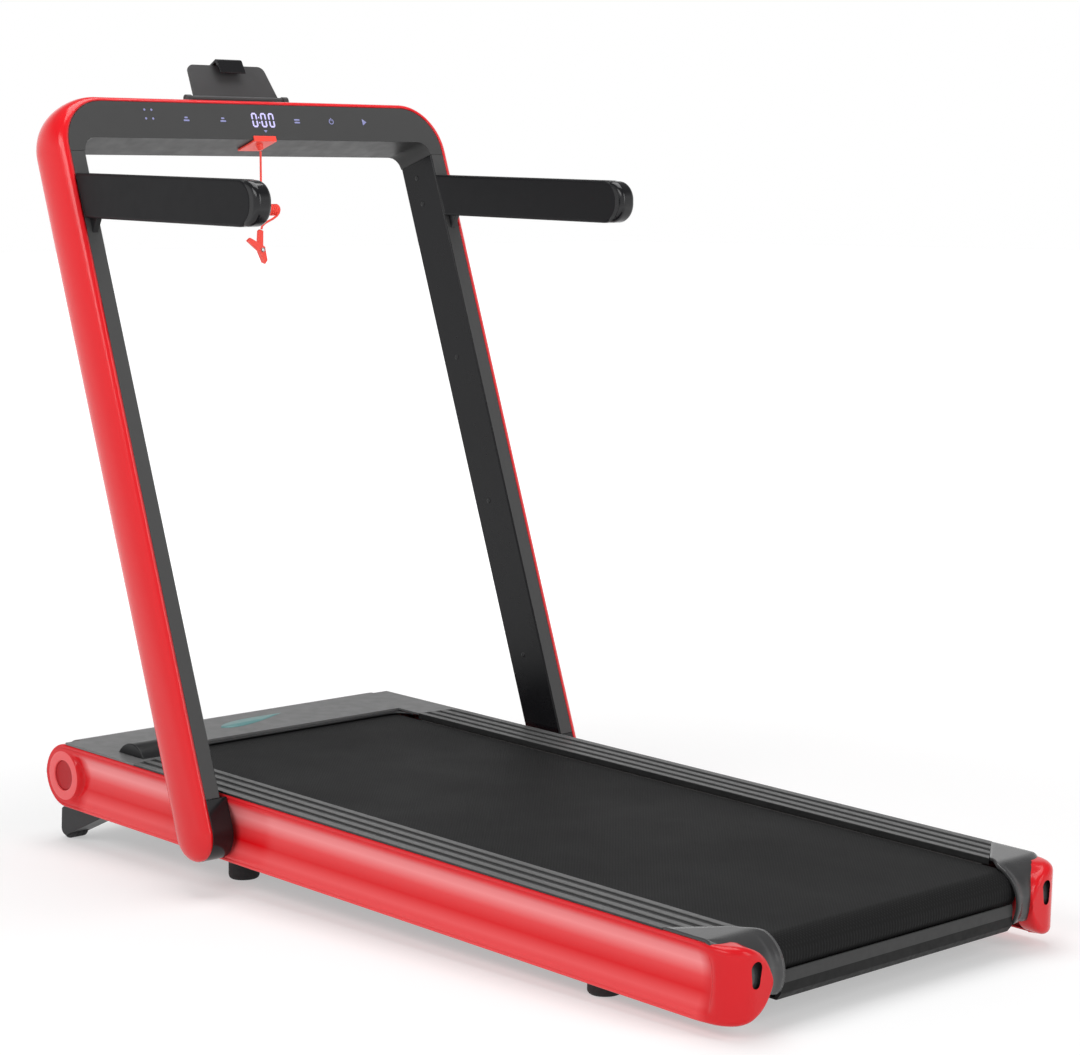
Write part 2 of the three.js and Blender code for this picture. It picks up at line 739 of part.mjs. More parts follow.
function cordBundle() {
  const [x, z] = CORD_START;
  const middle = z - BUNDLE_DROP;
  const hole = new THREE.CylinderGeometry(1.9, 1.9, 30, 10).rotateX(Math.PI / 2);
  return cut(rodAcross(8, -10, 28, x, middle, 14), hole.translate(x, 0, middle));
}

// One lever of the clip, drawn round its rivet in rear view.
function clipShape(points, from, to) {
  const [y, z] = RIVET;
  const x = CORD_START[0];
  return prismAlong(points.map(([dy, dz]) => [y + dy, z + dz]), x + from, x + to);
}

function clipBody() {
  const outline = [[10, -16], [4, -18], [-5, 0], [-3, 25], [0, 27], [5, 25], [4.5, 0]];
  const x = CORD_START[0];
  return join(clipShape(outline.reverse(), -4.2, -0.2), rodAlong(2, x - 5, x + 5, ...RIVET, 12));
}

function clipLever() {
  const outline = [[-25, 12], [-20, 16], [4, 4], [8, -14], [4, -19], [-4, -4]];
  const x = CORD_START[0];
  return cut(clipShape(outline.reverse(), 0.2, 4.2), rodAlong(2.3, x - 1, x + 6, ...RIVET, 12));
}

// ------------------------------------------------------------------ assembly
const COLOURS = {
  red: [0xdc2a30, 0.25, 0],
  redKey: [0xf05048, 0.5, 0],
  grey: [0x6a6a6a, 0.5, 0],
  darkGrey: [0x4a4a4b, 0.4, 0],
  black: [0x1c1c1d, 0.35, 0],
  rubber: [0x202022, 0.85, 0],
  belt: [0x2b2b2c, 0.8, 0],
  steel: [0x9a9c9e, 0.35, 0.9],
  painted: [0x2a2a2c, 0.5, 0.3],
  wood: [0x8a6b4a, 0.7, 0],
  copper: [0x55585c, 0.4, 0.7],
};

const group = new THREE.Group();
group.name = "folding_treadmill";

function add(name, geometry, colour) {
  const [tint, roughness, metalness] = COLOURS[colour];
  const mesh = new THREE.Mesh(geometry, new THREE.MeshStandardMaterial({
    color: tint,
    roughness,
    metalness,
  }));
  mesh.name = name;
  group.add(mesh);
}

// The user's right is drawn; the left is its mirror image.
function addPair(name, geometry, colour) {
  add(`${name}_right`, geometry, colour);
  add(`${name}_left`, mirrored(geometry), colour);
}

addPair("frame_rail", onBase(frameRail()), "painted");
add("front_crossmember", onBase(crossmember(332, 24, 50)), "painted");
add("rear_crossmember", onBase(crossmember(1003, 37, 53)), "painted");
add("running_deck", onBase(runningDeck()), "wood");
addPair("deck_cushion", onBase(deckCushion()), "rubber");
addPair("side_cover", onBase(sideCover()), "red");
addPair("foot_rail", onBase(footRail()), "grey");
addPair("rear_cap", onBase(rearCap()), "darkGrey");
add("rear_bar", onBase(rearBar()), "darkGrey");
add("motor_cover", onBase(motorCover()), "grey");
add("bottom_pan", onBase(bottomPan()), "black");
add("front_roller", onBase(frontRoller()), "steel");
add("rear_roller", onBase(rearRoller()), "steel");
add("running_belt", onBase(runningBelt()), "belt");
add("drive_belt", onBase(driveBelt()), "rubber");
add("motor_pulley", onBase(motorPulley()), "steel");
add("motor", onBase(motor()), "copper");
add("controller", onBase(controller()), "black");
addPair("tension_bolt", onBase(tensionBolt()), "steel");
add("power_inlet", onBase(powerInlet()), "black");
add("power_switch", onBase(powerSwitch()), "redKey");
add("breaker_button", onBase(breakerButton()), "black");
add("fold_pedal", onBase(foldPedal()), "black");
addPair("wheel_bracket", onBase(wheelBracket()), "darkGrey");
addPair("transport_wheel", transportWheel(), "rubber");
addPair("foot_front", foot(-273.5, 215, 38.8, 63.2), "rubber");
addPair("foot_rear", foot(397, 239, 18.8, 29.5), "rubber");
addPair("hinge_hub", onUpright(hingeHub()), "black");
addPair("upright_tube", onUpright(uprightTube()), "steel");
addPair("inner_shell", onUpright(innerShell()), "darkGrey");
addPair("outer_shell", onUpright(outerShell()), "red");
add("outer_shell_top", onUpright(outerShellTop()), "red");
add("console_housing", onUpright(consoleHousing()), "darkGrey");
add("console_tube", onUpright(consoleTube()), "steel");
addPair("arm_bracket", onUpright(armBracket()), "black");
addPair("arm", arm(), "black");
add("holder_ledge", onUpright(holderLedge()), "black");
add("phone_plate", onHolder(phonePlate()), "darkGrey");
add("phone_clamp", onHolder(phoneClamp()), "black");
add("safety_key", onUpright(safetyKey()), "redKey");
add("safety_cord", safetyCord(), "redKey");
add("cord_bundle", cordBundle(), "redKey");
add("clip_body", clipBody(), "redKey");
add("clip_lever", clipLever(), "redKey");

export default group;
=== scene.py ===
"""Folding walking treadmill: the looks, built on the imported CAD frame."""

import json
import math

import bmesh
import bpy
from mathutils import Matrix, Vector


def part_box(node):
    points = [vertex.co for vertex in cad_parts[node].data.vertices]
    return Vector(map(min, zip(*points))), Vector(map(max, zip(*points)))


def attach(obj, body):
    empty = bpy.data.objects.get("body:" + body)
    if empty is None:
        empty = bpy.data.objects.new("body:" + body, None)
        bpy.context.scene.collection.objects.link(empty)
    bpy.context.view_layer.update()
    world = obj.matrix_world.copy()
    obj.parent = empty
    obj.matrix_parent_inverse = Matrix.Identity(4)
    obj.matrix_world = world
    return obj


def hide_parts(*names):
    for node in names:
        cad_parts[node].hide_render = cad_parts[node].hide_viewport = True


MM = 0.001

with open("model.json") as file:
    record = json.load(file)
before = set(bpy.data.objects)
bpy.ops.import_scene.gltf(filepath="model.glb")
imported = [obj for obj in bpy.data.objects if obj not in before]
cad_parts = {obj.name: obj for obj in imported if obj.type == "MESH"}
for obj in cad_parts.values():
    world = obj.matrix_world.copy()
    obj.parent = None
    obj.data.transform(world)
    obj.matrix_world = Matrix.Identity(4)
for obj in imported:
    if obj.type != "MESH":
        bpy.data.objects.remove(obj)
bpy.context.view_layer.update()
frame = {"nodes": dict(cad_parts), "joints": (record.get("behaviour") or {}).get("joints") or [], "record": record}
record = frame["record"]
nodes = frame["nodes"]
joints = {joint["name"]: joint for joint in frame["joints"]}
body_of_node = {
    node: body
    for body, members in record["behaviour"]["bodies"].items()
    for node in members
}
slot_of_node = {part["node"]: part["material_slot"] for part in record["subparts"]}


# ------------------------------------------------------------------- frames
def tilt(axis):
    """Turn about Y that makes -Z point along a downward axis of the XZ plane."""
    return Matrix.Rotation(math.atan2(-axis[0], -axis[2]), 4, "Y")


# The upright frame: x back from the legs' centre plane, z up from the pivot.
PIVOT = Vector(joints["upright_fold"]["pos_m"])
UPRIGHT = Matrix.Translation(PIVOT) @ tilt(joints["key_pull"]["axis"])

# The base: x from its front end, z from the underside of its side covers.
FRONT_ROLLER = Vector((108, 0, 47.7)) * MM
BASE_TURN = tilt(joints["pedal_press"]["axis"])
BASE = Matrix.Translation(Vector(joints["front_roller_spin"]["pos_m"])) @ BASE_TURN
BASE = BASE @ Matrix.Translation(-FRONT_ROLLER)

# Side covers, in mm: the outer face runs back, turns in round PLAN_R and ends at REAR_END_IN.
BASE_LENGTH = 1243
COVER_OUT = 277.5
COVER_TALL = 84
PLAN_R = 34
REAR_END_IN = 219
CORNER_X = BASE_LENGTH - PLAN_R
CORNER_Y = COVER_OUT - PLAN_R
QUARTER = PLAN_R * math.pi / 2
PATH_END = CORNER_X + QUARTER + CORNER_Y - REAR_END_IN
BOSS = (39, 42)
BOSS_R = 34
BOSS_RECESS_R = 20

# Upright frame, in mm: SEAM is where the red shell meets the dark one.
LEG_HALF = 33.5
LEG_IN = 287.4
SEAM = 310.1
SIDE_CROWN = 16.4
TOP_CROWN = 11
CONSOLE_TOP = 934.7
CORNER_R = 61

CORD_D = 3 * MM
CORD_TURNS = 10


# ---------------------------------------------------------------- materials
def new_material(name):
    material = bpy.data.materials.new(name)
    material.use_nodes = True
    shader = material.node_tree.nodes["Principled BSDF"]
    return material, material.node_tree, shader


def object_noise(tree, scale, detail=2.0, stretch=None):
    coordinates = tree.nodes.new("ShaderNodeTexCoord")
    noise = tree.nodes.new("ShaderNodeTexNoise")
    noise.inputs["Scale"].default_value = scale
    noise.inputs["Detail"].default_value = detail
    source = coordinates.outputs["Object"]
    if stretch:
        mapping = tree.nodes.new("ShaderNodeMapping")
        mapping.inputs["Scale"].default_value = stretch
        tree.links.new(source, mapping.inputs["Vector"])
        source = mapping.outputs["Vector"]
    tree.links.new(source, noise.inputs["Vector"])
    return noise.outputs["Fac"]


def spread(tree, source, low, high):
    """Map a 0 to 1 noise onto a narrow range of values."""
    ranged = tree.nodes.new("ShaderNodeMapRange")
    ranged.inputs["From Min"].default_value = 0.3
    ranged.inputs["From Max"].default_value = 0.7
    ranged.inputs["To Min"].default_value = low
    ranged.inputs["To Max"].default_value = high
    tree.links.new(source, ranged.inputs["Value"])
    return ranged.outputs["Result"]


def two_colours(tree, factor, first, second):
    mix = tree.nodes.new("ShaderNodeMix")
    mix.data_type = "RGBA"
    tree.links.new(factor, mix.inputs["Factor"])
    mix.inputs["A"].default_value = (*first, 1)
    mix.inputs["B"].default_value = (*second, 1)
    return mix.outputs["Result"]


def add_bump(tree, shader, height, strength, distance):
    bump = tree.nodes.new("ShaderNodeBump")
    bump.inputs["Strength"].default_value = strength
    bump.inputs["Distance"].default_value = distance
    tree.links.new(height, bump.inputs["Height"])
    tree.links.new(bump.outputs["Normal"], shader.inputs["Normal"])


def pale_convex_edges(tree, colour, lift):
    """Lighten a colour a little along convex edges."""
    geometry = tree.nodes.new("ShaderNodeNewGeometry")
    ramp = tree.nodes.new("ShaderNodeValToRGB")
    ramp.color_ramp.elements[0].position = 0.52
    ramp.color_ramp.elements[1].position = 0.62
    tree.links.new(geometry.outputs["Pointiness"], ramp.inputs["Fac"])
    mix = tree.nodes.new("ShaderNodeMix")
    mix.data_type = "RGBA"
    mix.blend_type = "ADD"
    tree.links.new(ramp.outputs["Color"], mix.inputs["Factor"])
    tree.links.new(colour, mix.inputs["A"])
    mix.inputs["B"].default_value = (lift, lift, lift, 1)
    return mix.outputs["Result"]


def plastic(
    name, colour, rough, grain=0.0, grain_scale=900, coat=0.0, variation=0.06, specular=0.5,
    edge_lift=0.012,
):
    """Moulded plastic: cloudy colour and sheen, with a grain, a coat or pale edges if asked."""
    material, tree, shader = new_material(name)
    soft = object_noise(tree, 7)
    darker = tuple(c * (1 - variation) for c in colour)
    lighter = tuple(min(1, c * (1 + variation)) for c in colour)
    tint = two_colours(tree, soft, darker, lighter)
    if edge_lift:
        tint = pale_convex_edges(tree, tint, edge_lift)
    tree.links.new(tint, shader.inputs["Base Color"])
    shader.inputs["Specular IOR Level"].default_value = specular
    fine = object_noise(tree, 60)
    spare = variation * 1.5
    tree.links.new(
        spread(tree, fine, rough * (1 - spare), rough * (1 + spare)), shader.inputs["Roughness"],
    )
    if coat:
        shader.inputs["Coat Weight"].default_value = coat
        shader.inputs["Coat Roughness"].default_value = 0.08
    if grain:
        add_bump(tree, shader, object_noise(tree, grain_scale), grain, 0.0002)
    return material


def metal(name, colour, rough):
    """Steel with fine turning marks round the Y axis."""
    material, tree, shader = new_material(name)
    brushed = object_noise(tree, 6, 4, (4, 300, 4))
    darker = tuple(c * 0.85 for c in colour)
    tree.links.new(two_colours(tree, brushed, darker, colour), shader.inputs["Base Color"])
    tree.links.new(spread(tree, brushed, rough * 0.8, rough * 1.25), shader.inputs["Roughness"])
    shader.inputs["Metallic"].default_value = 1.0
    add_bump(tree, shader, brushed, 0.06, 0.0002)
    return material


def rubber(name, colour):
    """Matt rubber with fine pale specks."""
    material, tree, shader = new_material(name)
    speckle = object_noise(tree, 260, 3)
    lighter = tuple(c * 1.5 for c in colour)
    tree.links.new(two_colours(tree, speckle, colour, lighter), shader.inputs["Base Color"])
    tree.links.new(spread(tree, speckle, 0.72, 0.9), shader.inputs["Roughness"])
    add_bump(tree, shader, speckle, 0.25, 0.0003)
    return material


def wave(tree, vector, direction, scale):
    node = tree.nodes.new("ShaderNodeTexWave")
    node.wave_type = "BANDS"
    node.bands_direction = direction
    node.inputs["Scale"].default_value = scale
    tree.links.new(vector, node.inputs["Vector"])
    return node.outputs["Fac"]


def math_node(tree, operation, first, second):
    node = tree.nodes.new("ShaderNodeMath")
    node.operation = operation
    for socket, value in zip(node.inputs, (first, second)):
        if isinstance(value, (int, float)):
            socket.default_value = value
        else:
            tree.links.new(value, socket)
    return node.outputs["Value"]


def belt_material():
    """Black belt with a fine embossed diamond weave."""
    material, tree, shader = new_material("belt_weave")
    coordinates = tree.nodes.new("ShaderNodeTexCoord")
    turned = tree.nodes.new("ShaderNodeMapping")
    turned.inputs["Rotation"].default_value = (0, 0, math.radians(45))
    tree.links.new(coordinates.outputs["Object"], turned.inputs["Vector"])
    first = wave(tree, turned.outputs["Vector"], "X", 95)
    second = wave(tree, turned.outputs["Vector"], "Y", 95)
    weave = math_node(tree, "MULTIPLY", first, second)
    dusty = object_noise(tree, 5, 3)
    tint = two_colours(tree, weave, (0.004, 0.004, 0.004), (0.012, 0.012, 0.013))
    cloudy = tree.nodes.new("ShaderNodeMix")
    cloudy.data_type = "RGBA"
    tree.links.new(spread(tree, dusty, 0.0, 0.3), cloudy.inputs["Factor"])
    tree.links.new(tint, cloudy.inputs["A"])
    cloudy.inputs["B"].default_value = (0.012, 0.012, 0.012, 1)
    shader.inputs["Specular IOR Level"].default_value = 0.14
    tree.links.new(cloudy.outputs["Result"], shader.inputs["Base Color"])
    tree.links.new(spread(tree, dusty, 0.6, 0.74), shader.inputs["Roughness"])
    add_bump(tree, shader, weave, 0.5, 0.0004)
    return material


def wood_material():
    """Black laminated board with a faint long grain."""
    material, tree, shader = new_material("deck_board")
    grain = object_noise(tree, 5, 5, (3, 60, 60))
    tint = two_colours(tree, grain, (0.010, 0.009, 0.009), (0.024, 0.022, 0.020))
    tree.links.new(tint, shader.inputs["Base Color"])
    tree.links.new(spread(tree, grain, 0.5, 0.65), shader.inputs["Roughness"])
    add_bump(tree, shader, grain, 0.2, 0.0004)
    return material


def along(tree, direction, low, high):
    """0 below low and 1 above high, measured in metres along a direction."""
    coordinates = tree.nodes.new("ShaderNodeTexCoord")
    dot = tree.nodes.new("ShaderNodeVectorMath")
    dot.operation = "DOT_PRODUCT"
    tree.links.new(coordinates.outputs["Object"], dot.inputs[0])
    dot.inputs[1].default_value = direction
    ranged = tree.nodes.new("ShaderNodeMapRange")
    ranged.inputs["From Min"].default_value = low
    ranged.inputs["From Max"].default_value = high
    tree.links.new(dot.outputs["Value"], ranged.inputs["Value"])
    return ranged.outputs["Result"]


def base_axis(axis):
    """An axis of the base in the object's frame, and where the base's zero lies on it."""
    direction = BASE.to_3x3() @ Vector(axis)
    return direction, BASE.translation.dot(direction)


def painted_light_levels(name, height, below, above, specular):
    """Plastic that is one grey below a height on the base and another above it, as painted light: painted shade in
    the darker grey, the lit part in the paler one.
    """
    material, tree, shader = new_material(name)
    up, foot = base_axis((0, 0, 1))
    level = foot + height * MM
    mask = along(tree, up, level - 0.2 * MM, level + 0.2 * MM)
    tint = two_colours(tree, mask, (below,) * 3, (above,) * 3)
    shader.inputs["Specular IOR Level"].default_value = specular
    tree.links.new(tint, shader.inputs["Base Color"])
    fine = object_noise(tree, 120)
    tree.links.new(spread(tree, fine, 0.42, 0.56), shader.inputs["Roughness"])
    add_bump(tree, shader, object_noise(tree, 1100), 0.12, 0.0002)
    return material


def cover_material():
    """Gloss red with the light on the hollow coloured in: pale near the top, deep below."""
    material, tree, shader = new_material("red_cover_gloss")
    up, foot = base_axis((0, 0, 1))
    back, front = base_axis((1, 0, 0))
    height = along(tree, up, foot, foot + COVER_TALL * MM)
    ramp = tree.nodes.new("ShaderNodeValToRGB")
    stops = ramp.color_ramp.elements
    stops[0].position, stops[0].color = 0.10, (0.76, 0.055, 0.060, 1)
    stops[1].position, stops[1].color = 0.92, (0.65, 0.020, 0.026, 1)
    shades = (
        (0.20, (0.80, 0.095, 0.100, 1)), (0.36, (0.67, 0.004, 0.008, 1)),
        (0.54, (0.74, 0.055, 0.060, 1)), (0.72, (0.84, 0.250, 0.255, 1)),
        (0.83, (0.76, 0.190, 0.195, 1)),
    )
    for position, colour in shades:
        stops.new(position).color = colour
    tree.links.new(height, ramp.inputs["Fac"])
    begins = along(tree, back, front + 74 * MM, front + 90 * MM)
    ends = along(tree, back, front + 1205 * MM, front + 1190 * MM)
    inside = math_node(tree, "MULTIPLY", begins, ends)
    mix = tree.nodes.new("ShaderNodeMix")
    mix.data_type = "RGBA"
    tree.links.new(inside, mix.inputs["Factor"])
    mix.inputs["A"].default_value = (0.62, 0.012, 0.017, 1)
    tree.links.new(ramp.outputs["Color"], mix.inputs["B"])
    cloudy = tree.nodes.new("ShaderNodeMix")
    cloudy.data_type = "RGBA"
    cloudy.blend_type = "MULTIPLY"
    tree.links.new(spread(tree, object_noise(tree, 7), 0.0, 0.06), cloudy.inputs["Factor"])
    tree.links.new(mix.outputs["Result"], cloudy.inputs["A"])
    cloudy.inputs["B"].default_value = (0.8, 0.8, 0.8, 1)
    tree.links.new(cloudy.outputs["Result"], shader.inputs["Base Color"])
    tree.links.new(spread(tree, object_noise(tree, 60), 0.19, 0.21), shader.inputs["Roughness"])
    shader.inputs["Specular IOR Level"].default_value = 0.2
    shader.inputs["Coat Weight"].default_value = 0.03
    shader.inputs["Coat Roughness"].default_value = 0.08
    return material


def two_faced(name, direction, face, side, face_rough, side_rough):
    """One finish on the faces along a direction and another on the rest."""
    material, tree, shader = new_material(name)
    coordinates = tree.nodes.new("ShaderNodeTexCoord")
    dot = tree.nodes.new("ShaderNodeVectorMath")
    dot.operation = "DOT_PRODUCT"
    tree.links.new(coordinates.outputs["Normal"], dot.inputs[0])
    dot.inputs[1].default_value = direction
    facing = math_node(tree, "ABSOLUTE", dot.outputs["Value"], 0)
    mask = math_node(tree, "GREATER_THAN", facing, 0.75)
    tint = two_colours(tree, mask, side, face)
    tree.links.new(tint, shader.inputs["Base Color"])
    rough = tree.nodes.new("ShaderNodeMix")
    tree.links.new(mask, rough.inputs["Factor"])
    rough.inputs["A"].default_value = side_rough
    rough.inputs["B"].default_value = face_rough
    grain = object_noise(tree, 50)
    total = math_node(tree, "MULTIPLY", rough.outputs["Result"], spread(tree, grain, 0.9, 1.1))
    tree.links.new(total, shader.inputs["Roughness"])
    shader.inputs["Specular IOR Level"].default_value = 0.2
    add_bump(tree, shader, object_noise(tree, 1000), 0.02, 0.0001)
    return material


def glow(name, colour, strength):
    """Lit mark of the display."""
    material, tree, shader = new_material(name)
    shader.inputs["Base Color"].default_value = (0.02, 0.02, 0.02, 1)
    flicker = object_noise(tree, 300)
    pale = tuple(min(1, c * 1.1) for c in colour)
    tint = two_colours(tree, flicker, colour, pale)
    tree.links.new(tint, shader.inputs["Emission Color"])
    shader.inputs["Emission Strength"].default_value = strength
    return material


RED = plastic("red_gloss", (0.64, 0.008, 0.013), 0.2, coat=0.1, variation=0.015, specular=0.34)
RED_DARK = plastic("red_disc", (0.40, 0.006, 0.010), 0.4, variation=0.02, specular=0.2)
RED_MATT = plastic("red_key_plastic", (0.84, 0.050, 0.030), 0.42, grain=0.1)
RED_CORD = plastic("cord_jacket", (0.84, 0.050, 0.030), 0.5, grain=0.3, grain_scale=1500)
GREY = plastic("grey_plastic", (0.118, 0.118, 0.119), 0.45, grain=0.12)
PLATE_GREY = plastic("plate_plastic", (0.040, 0.040, 0.041), 0.42, grain=0.12, specular=0.35)
CAP_GREY = plastic("grey_cap_gloss", (0.040, 0.040, 0.041), 0.22, specular=0.4, edge_lift=0, coat=0.1)
BLACK = plastic("black_plastic", (0.010, 0.010, 0.011), 0.34, grain=0.1, specular=0.3, edge_lift=0.006)
ARM_BLACK = plastic(
    "hand_rail_plastic", (0.008, 0.008, 0.009), 0.42, grain=0.1, specular=0.12, edge_lift=0.004,
)
GLOSS_BLACK = plastic("black_gloss", (0.008, 0.008, 0.009), 0.16, specular=0.35, edge_lift=0.004)
STEEL = metal("brushed_steel", (0.55, 0.56, 0.57), 0.34)
DARK_STEEL = metal("dark_steel", (0.22, 0.23, 0.24), 0.4)
PAINTED = plastic("frame_paint", (0.03, 0.03, 0.033), 0.4, grain=0.3, grain_scale=350)
TYRE = rubber("rubber", (0.014, 0.014, 0.015))
RED_COVER = cover_material()
# The boss ring is the cover's red made paler: painted sheen on its outward face.
RED_RING_PAINTED_SHEEN = plastic("red_ring_painted_sheen", (0.76, 0.085, 0.090), 0.24, variation=0.015, specular=0.42)
BELT = belt_material()
WOOD = wood_material()
# Foot rails: the near black below the ridge tops is painted shade in the grooves.
RIBBED = painted_light_levels("foot_rail_painted_groove_shade", 86.2, 0.008, 0.090, 0.5)
# Rear bar: the pale upper lip is a painted highlight and the near black below is painted shade.
BAR = painted_light_levels("rear_bar_painted_light", 33, 0.004, 0.040, 0.2)
BACKWARD = UPRIGHT.to_3x3() @ Vector((1, 0, 0))
SHELL_GREY = two_faced(
    "inner_shell_plastic", BACKWARD, (0.056, 0.056, 0.056), (0.004, 0.004, 0.005), 0.42, 0.26,
)
CONSOLE_GREY = two_faced(
    "console_plastic", BACKWARD, (0.052, 0.052, 0.052), (0.036, 0.036, 0.036), 0.36, 0.42,
)
SCREEN_GLOW = glow("display_glow", (0.56, 0.52, 0.92), 1.25)
FAINT_GLOW = glow("icon_glow", (0.30, 0.31, 0.62), 0.8)
TEAL = plastic("teal_accent", (0.10, 0.24, 0.24), 0.42, grain=0.12)

MATERIAL_OF_SLOT = {
    "red_shell": RED,
    "grey_plastic": GREY,
    "dark_gloss": GLOSS_BLACK,
    "black_plastic": BLACK,
    "belt_rubber": BELT,
    "soft_rubber": TYRE,
    "deck_board": WOOD,
    "frame_paint": PAINTED,
    "steel": STEEL,
    "motor_steel": DARK_STEEL,
    "red_key": RED_MATT,
}
MATERIAL_OF_NODE = {
    "foot_rail_left": RIBBED,
    "foot_rail_right": RIBBED,
    "rear_cap_left": CAP_GREY,
    "rear_cap_right": CAP_GREY,
    "hinge_hub_left": GLOSS_BLACK,
    "hinge_hub_right": GLOSS_BLACK,
    "phone_clamp": GLOSS_BLACK,
    "rear_bar": BAR,
    "rear_crossmember": BLACK,
    "inner_shell_left": SHELL_GREY,
    "inner_shell_right": SHELL_GREY,
    "console_housing": CONSOLE_GREY,
    "phone_plate": PLATE_GREY,
    "holder_ledge": PLATE_GREY,
    "arm_left": ARM_BLACK,
    "arm_right": ARM_BLACK,
    "wheel_bracket_left": BLACK,
    "wheel_bracket_right": BLACK,
}


def material_of(node):
    return MATERIAL_OF_NODE.get(node, MATERIAL_OF_SLOT[slot_of_node[node]])


# ------------------------------------------------------------ making pieces
def piece_from(name, mesh, body, material, replaced=()):
    """Put a mesh in the scene as a piece that rides a body."""
    piece = bpy.data.objects.new(name, mesh)
    bpy.context.scene.collection.objects.link(piece)
    piece.data.materials.clear()
    piece.data.materials.append(material)
    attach(piece, body)
    if replaced:
        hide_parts(*replaced)
    return piece


def mesh_from(name, build):
    """Run a bmesh builder and return its mesh, faces outward and smooth."""
    mesh = bpy.data.meshes.new(name)
    work = bmesh.new()
    build(work)
    bmesh.ops.remove_doubles(work, verts=work.verts, dist=2e-6)
    bmesh.ops.recalc_face_normals(work, faces=work.faces)
    work.to_mesh(mesh)
    work.free()
    mesh.polygons.foreach_set("use_smooth", [True] * len(mesh.polygons))
    return mesh


def soften(node, width):
    """Stand in for a CAD node: the same solid with rounded edges."""
    mesh = nodes[node].data.copy()
    work = bmesh.new()
    work.from_mesh(mesh)
    bmesh.ops.remove_doubles(work, verts=work.verts, dist=5e-6)
    bmesh.ops.dissolve_limit(
        work, angle_limit=math.radians(0.6), verts=work.verts, edges=work.edges,
    )
    work.to_mesh(mesh)
    work.free()
    mesh.polygons.foreach_set("use_smooth", [True] * len(mesh.polygons))
    piece = piece_from(
        f"{node}_finish", mesh, body_of_node[node], material_of(node), [node],
    )
    bevel = piece.modifiers.new("rounded_edges", "BEVEL")
    bevel.width = width * MM
    bevel.profile = 0.5
    bevel.segments = 2 if width < 2 else 4
    bevel.limit_method = "ANGLE"
    bevel.angle_limit = math.radians(28)
    bevel.use_clamp_overlap = True
    piece.modifiers.new("even_shading", "WEIGHTED_NORMAL")
    return piece


def grid_faces(work, rows, closed_rows=False, closed_ends=False):
    """Skin a list of equal rows of points."""
    made = [[work.verts.new(point) for point in row] for row in rows]
    size = len(made[0])
    last = size if closed_rows else size - 1
    for below, above in zip(made, made[1:]):
        for i in range(last):
            j = (i + 1) % size
            work.faces.new((below[i], below[j], above[j], above[i]))
    if closed_ends:
        work.faces.new(made[0])
        work.faces.new(reversed(made[-1]))


def lathe(name, matrix, profile, body, material, steps=40, replaced=()):
    """Turn a list of (radius, height) in mm round the local Z axis of a matrix."""
    def build(work):
        rows = []
        for radius, height in profile:
            rows.append([
                matrix @ (Vector((
                    radius * math.cos(math.tau * i / steps),
                    radius * math.sin(math.tau * i / steps),
                    height,
                )) * MM)
                for i in range(steps)
            ])
        grid_faces(work, rows, closed_rows=True)
        for row in (rows[0], rows[-1]):
            ring = [work.verts.new(point) for point in row]
            work.faces.new(ring)
    piece = piece_from(name, mesh_from(name, build), body, material, replaced)
    piece.modifiers.new("even_shading", "WEIGHTED_NORMAL")
    return piece


def blend_step(value, low, high):
    """Ease from 0 at low to 1 at high."""
    t = min(1, max(0, (value - low) / (high - low)))
    return t * t * (3 - 2 * t)


# ------------------------------------------------------------------- camera
CAMERA_PLACE = (2.4554, -2.2771, 0.8594)
CAMERA_DOWN = 6.97
CAMERA_TURN = 46.67


def add_camera():
    data = bpy.data.cameras.new("camera")
    data.sensor_width = 36
    data.lens = 92.07
    data.clip_end = 50
    camera = bpy.data.objects.new("camera", data)
    bpy.context.scene.collection.objects.link(camera)
    camera.location = CAMERA_PLACE
    camera.rotation_euler = (math.radians(90 - CAMERA_DOWN), 0, math.radians(CAMERA_TURN))
    bpy.context.scene.camera = camera


# ------------------------------------------------------------- safety cord
def cord_route():
    """Down from the key, ten turns wound round a level axis, down to the clip."""
    start = Vector(joints["cord_swing"]["pos_m"]) + Vector((0, 0, 2)) * MM
    bundle_low, bundle_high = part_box("cord_bundle")
    clip_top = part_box("clip_body")[1].z
    centre = (bundle_low + bundle_high) / 2
    radius = (bundle_high.z - bundle_low.z) / 2 - CORD_D / 2
    first = bundle_low.y + CORD_D * 0.75
    last = bundle_high.y - CORD_D * 0.75
    per_turn = 18
    top = start.z - 1.5 * MM
    points = [Vector((start.x, start.y, top - step * 6 * MM)) for step in range(10)]
    side = centre.x + radius
    points += [
        Vector((centre.x + radius * 0.25, -0.8 * MM, centre.z + 15 * MM)),
        Vector((centre.x + radius * 0.62, first * 0.55, centre.z + 10 * MM)),
        Vector((centre.x + radius * 0.93, first * 0.9, centre.z + 5 * MM)),
    ]
    steps = CORD_TURNS * per_turn
    for i in range(steps + 1):
        angle = -math.tau * i / per_turn
        y = first + (last - first) * i / steps
        points.append(Vector((
            centre.x + radius * math.cos(angle), y, centre.z + radius * math.sin(angle),
        )))
    points += [
        Vector((side - 0.6 * MM, last - 0.6 * MM, centre.z - 4 * MM)),
        Vector((side - 2.2 * MM, last - 3 * MM, centre.z - 8 * MM)),
        Vector((centre.x + radius * 0.45, last * 0.66, centre.z - 12 * MM)),
        Vector((centre.x + radius * 0.25, last * 0.42, centre.z - 15 * MM)),
        Vector((centre.x + radius * 0.1, last * 0.2, centre.z - 18 * MM)),
        Vector((centre.x, last * 0.04, centre.z - 21.5 * MM)),
    ]
    points.append(Vector((centre.x, 0, clip_top + 0.2 * MM)))
    return points


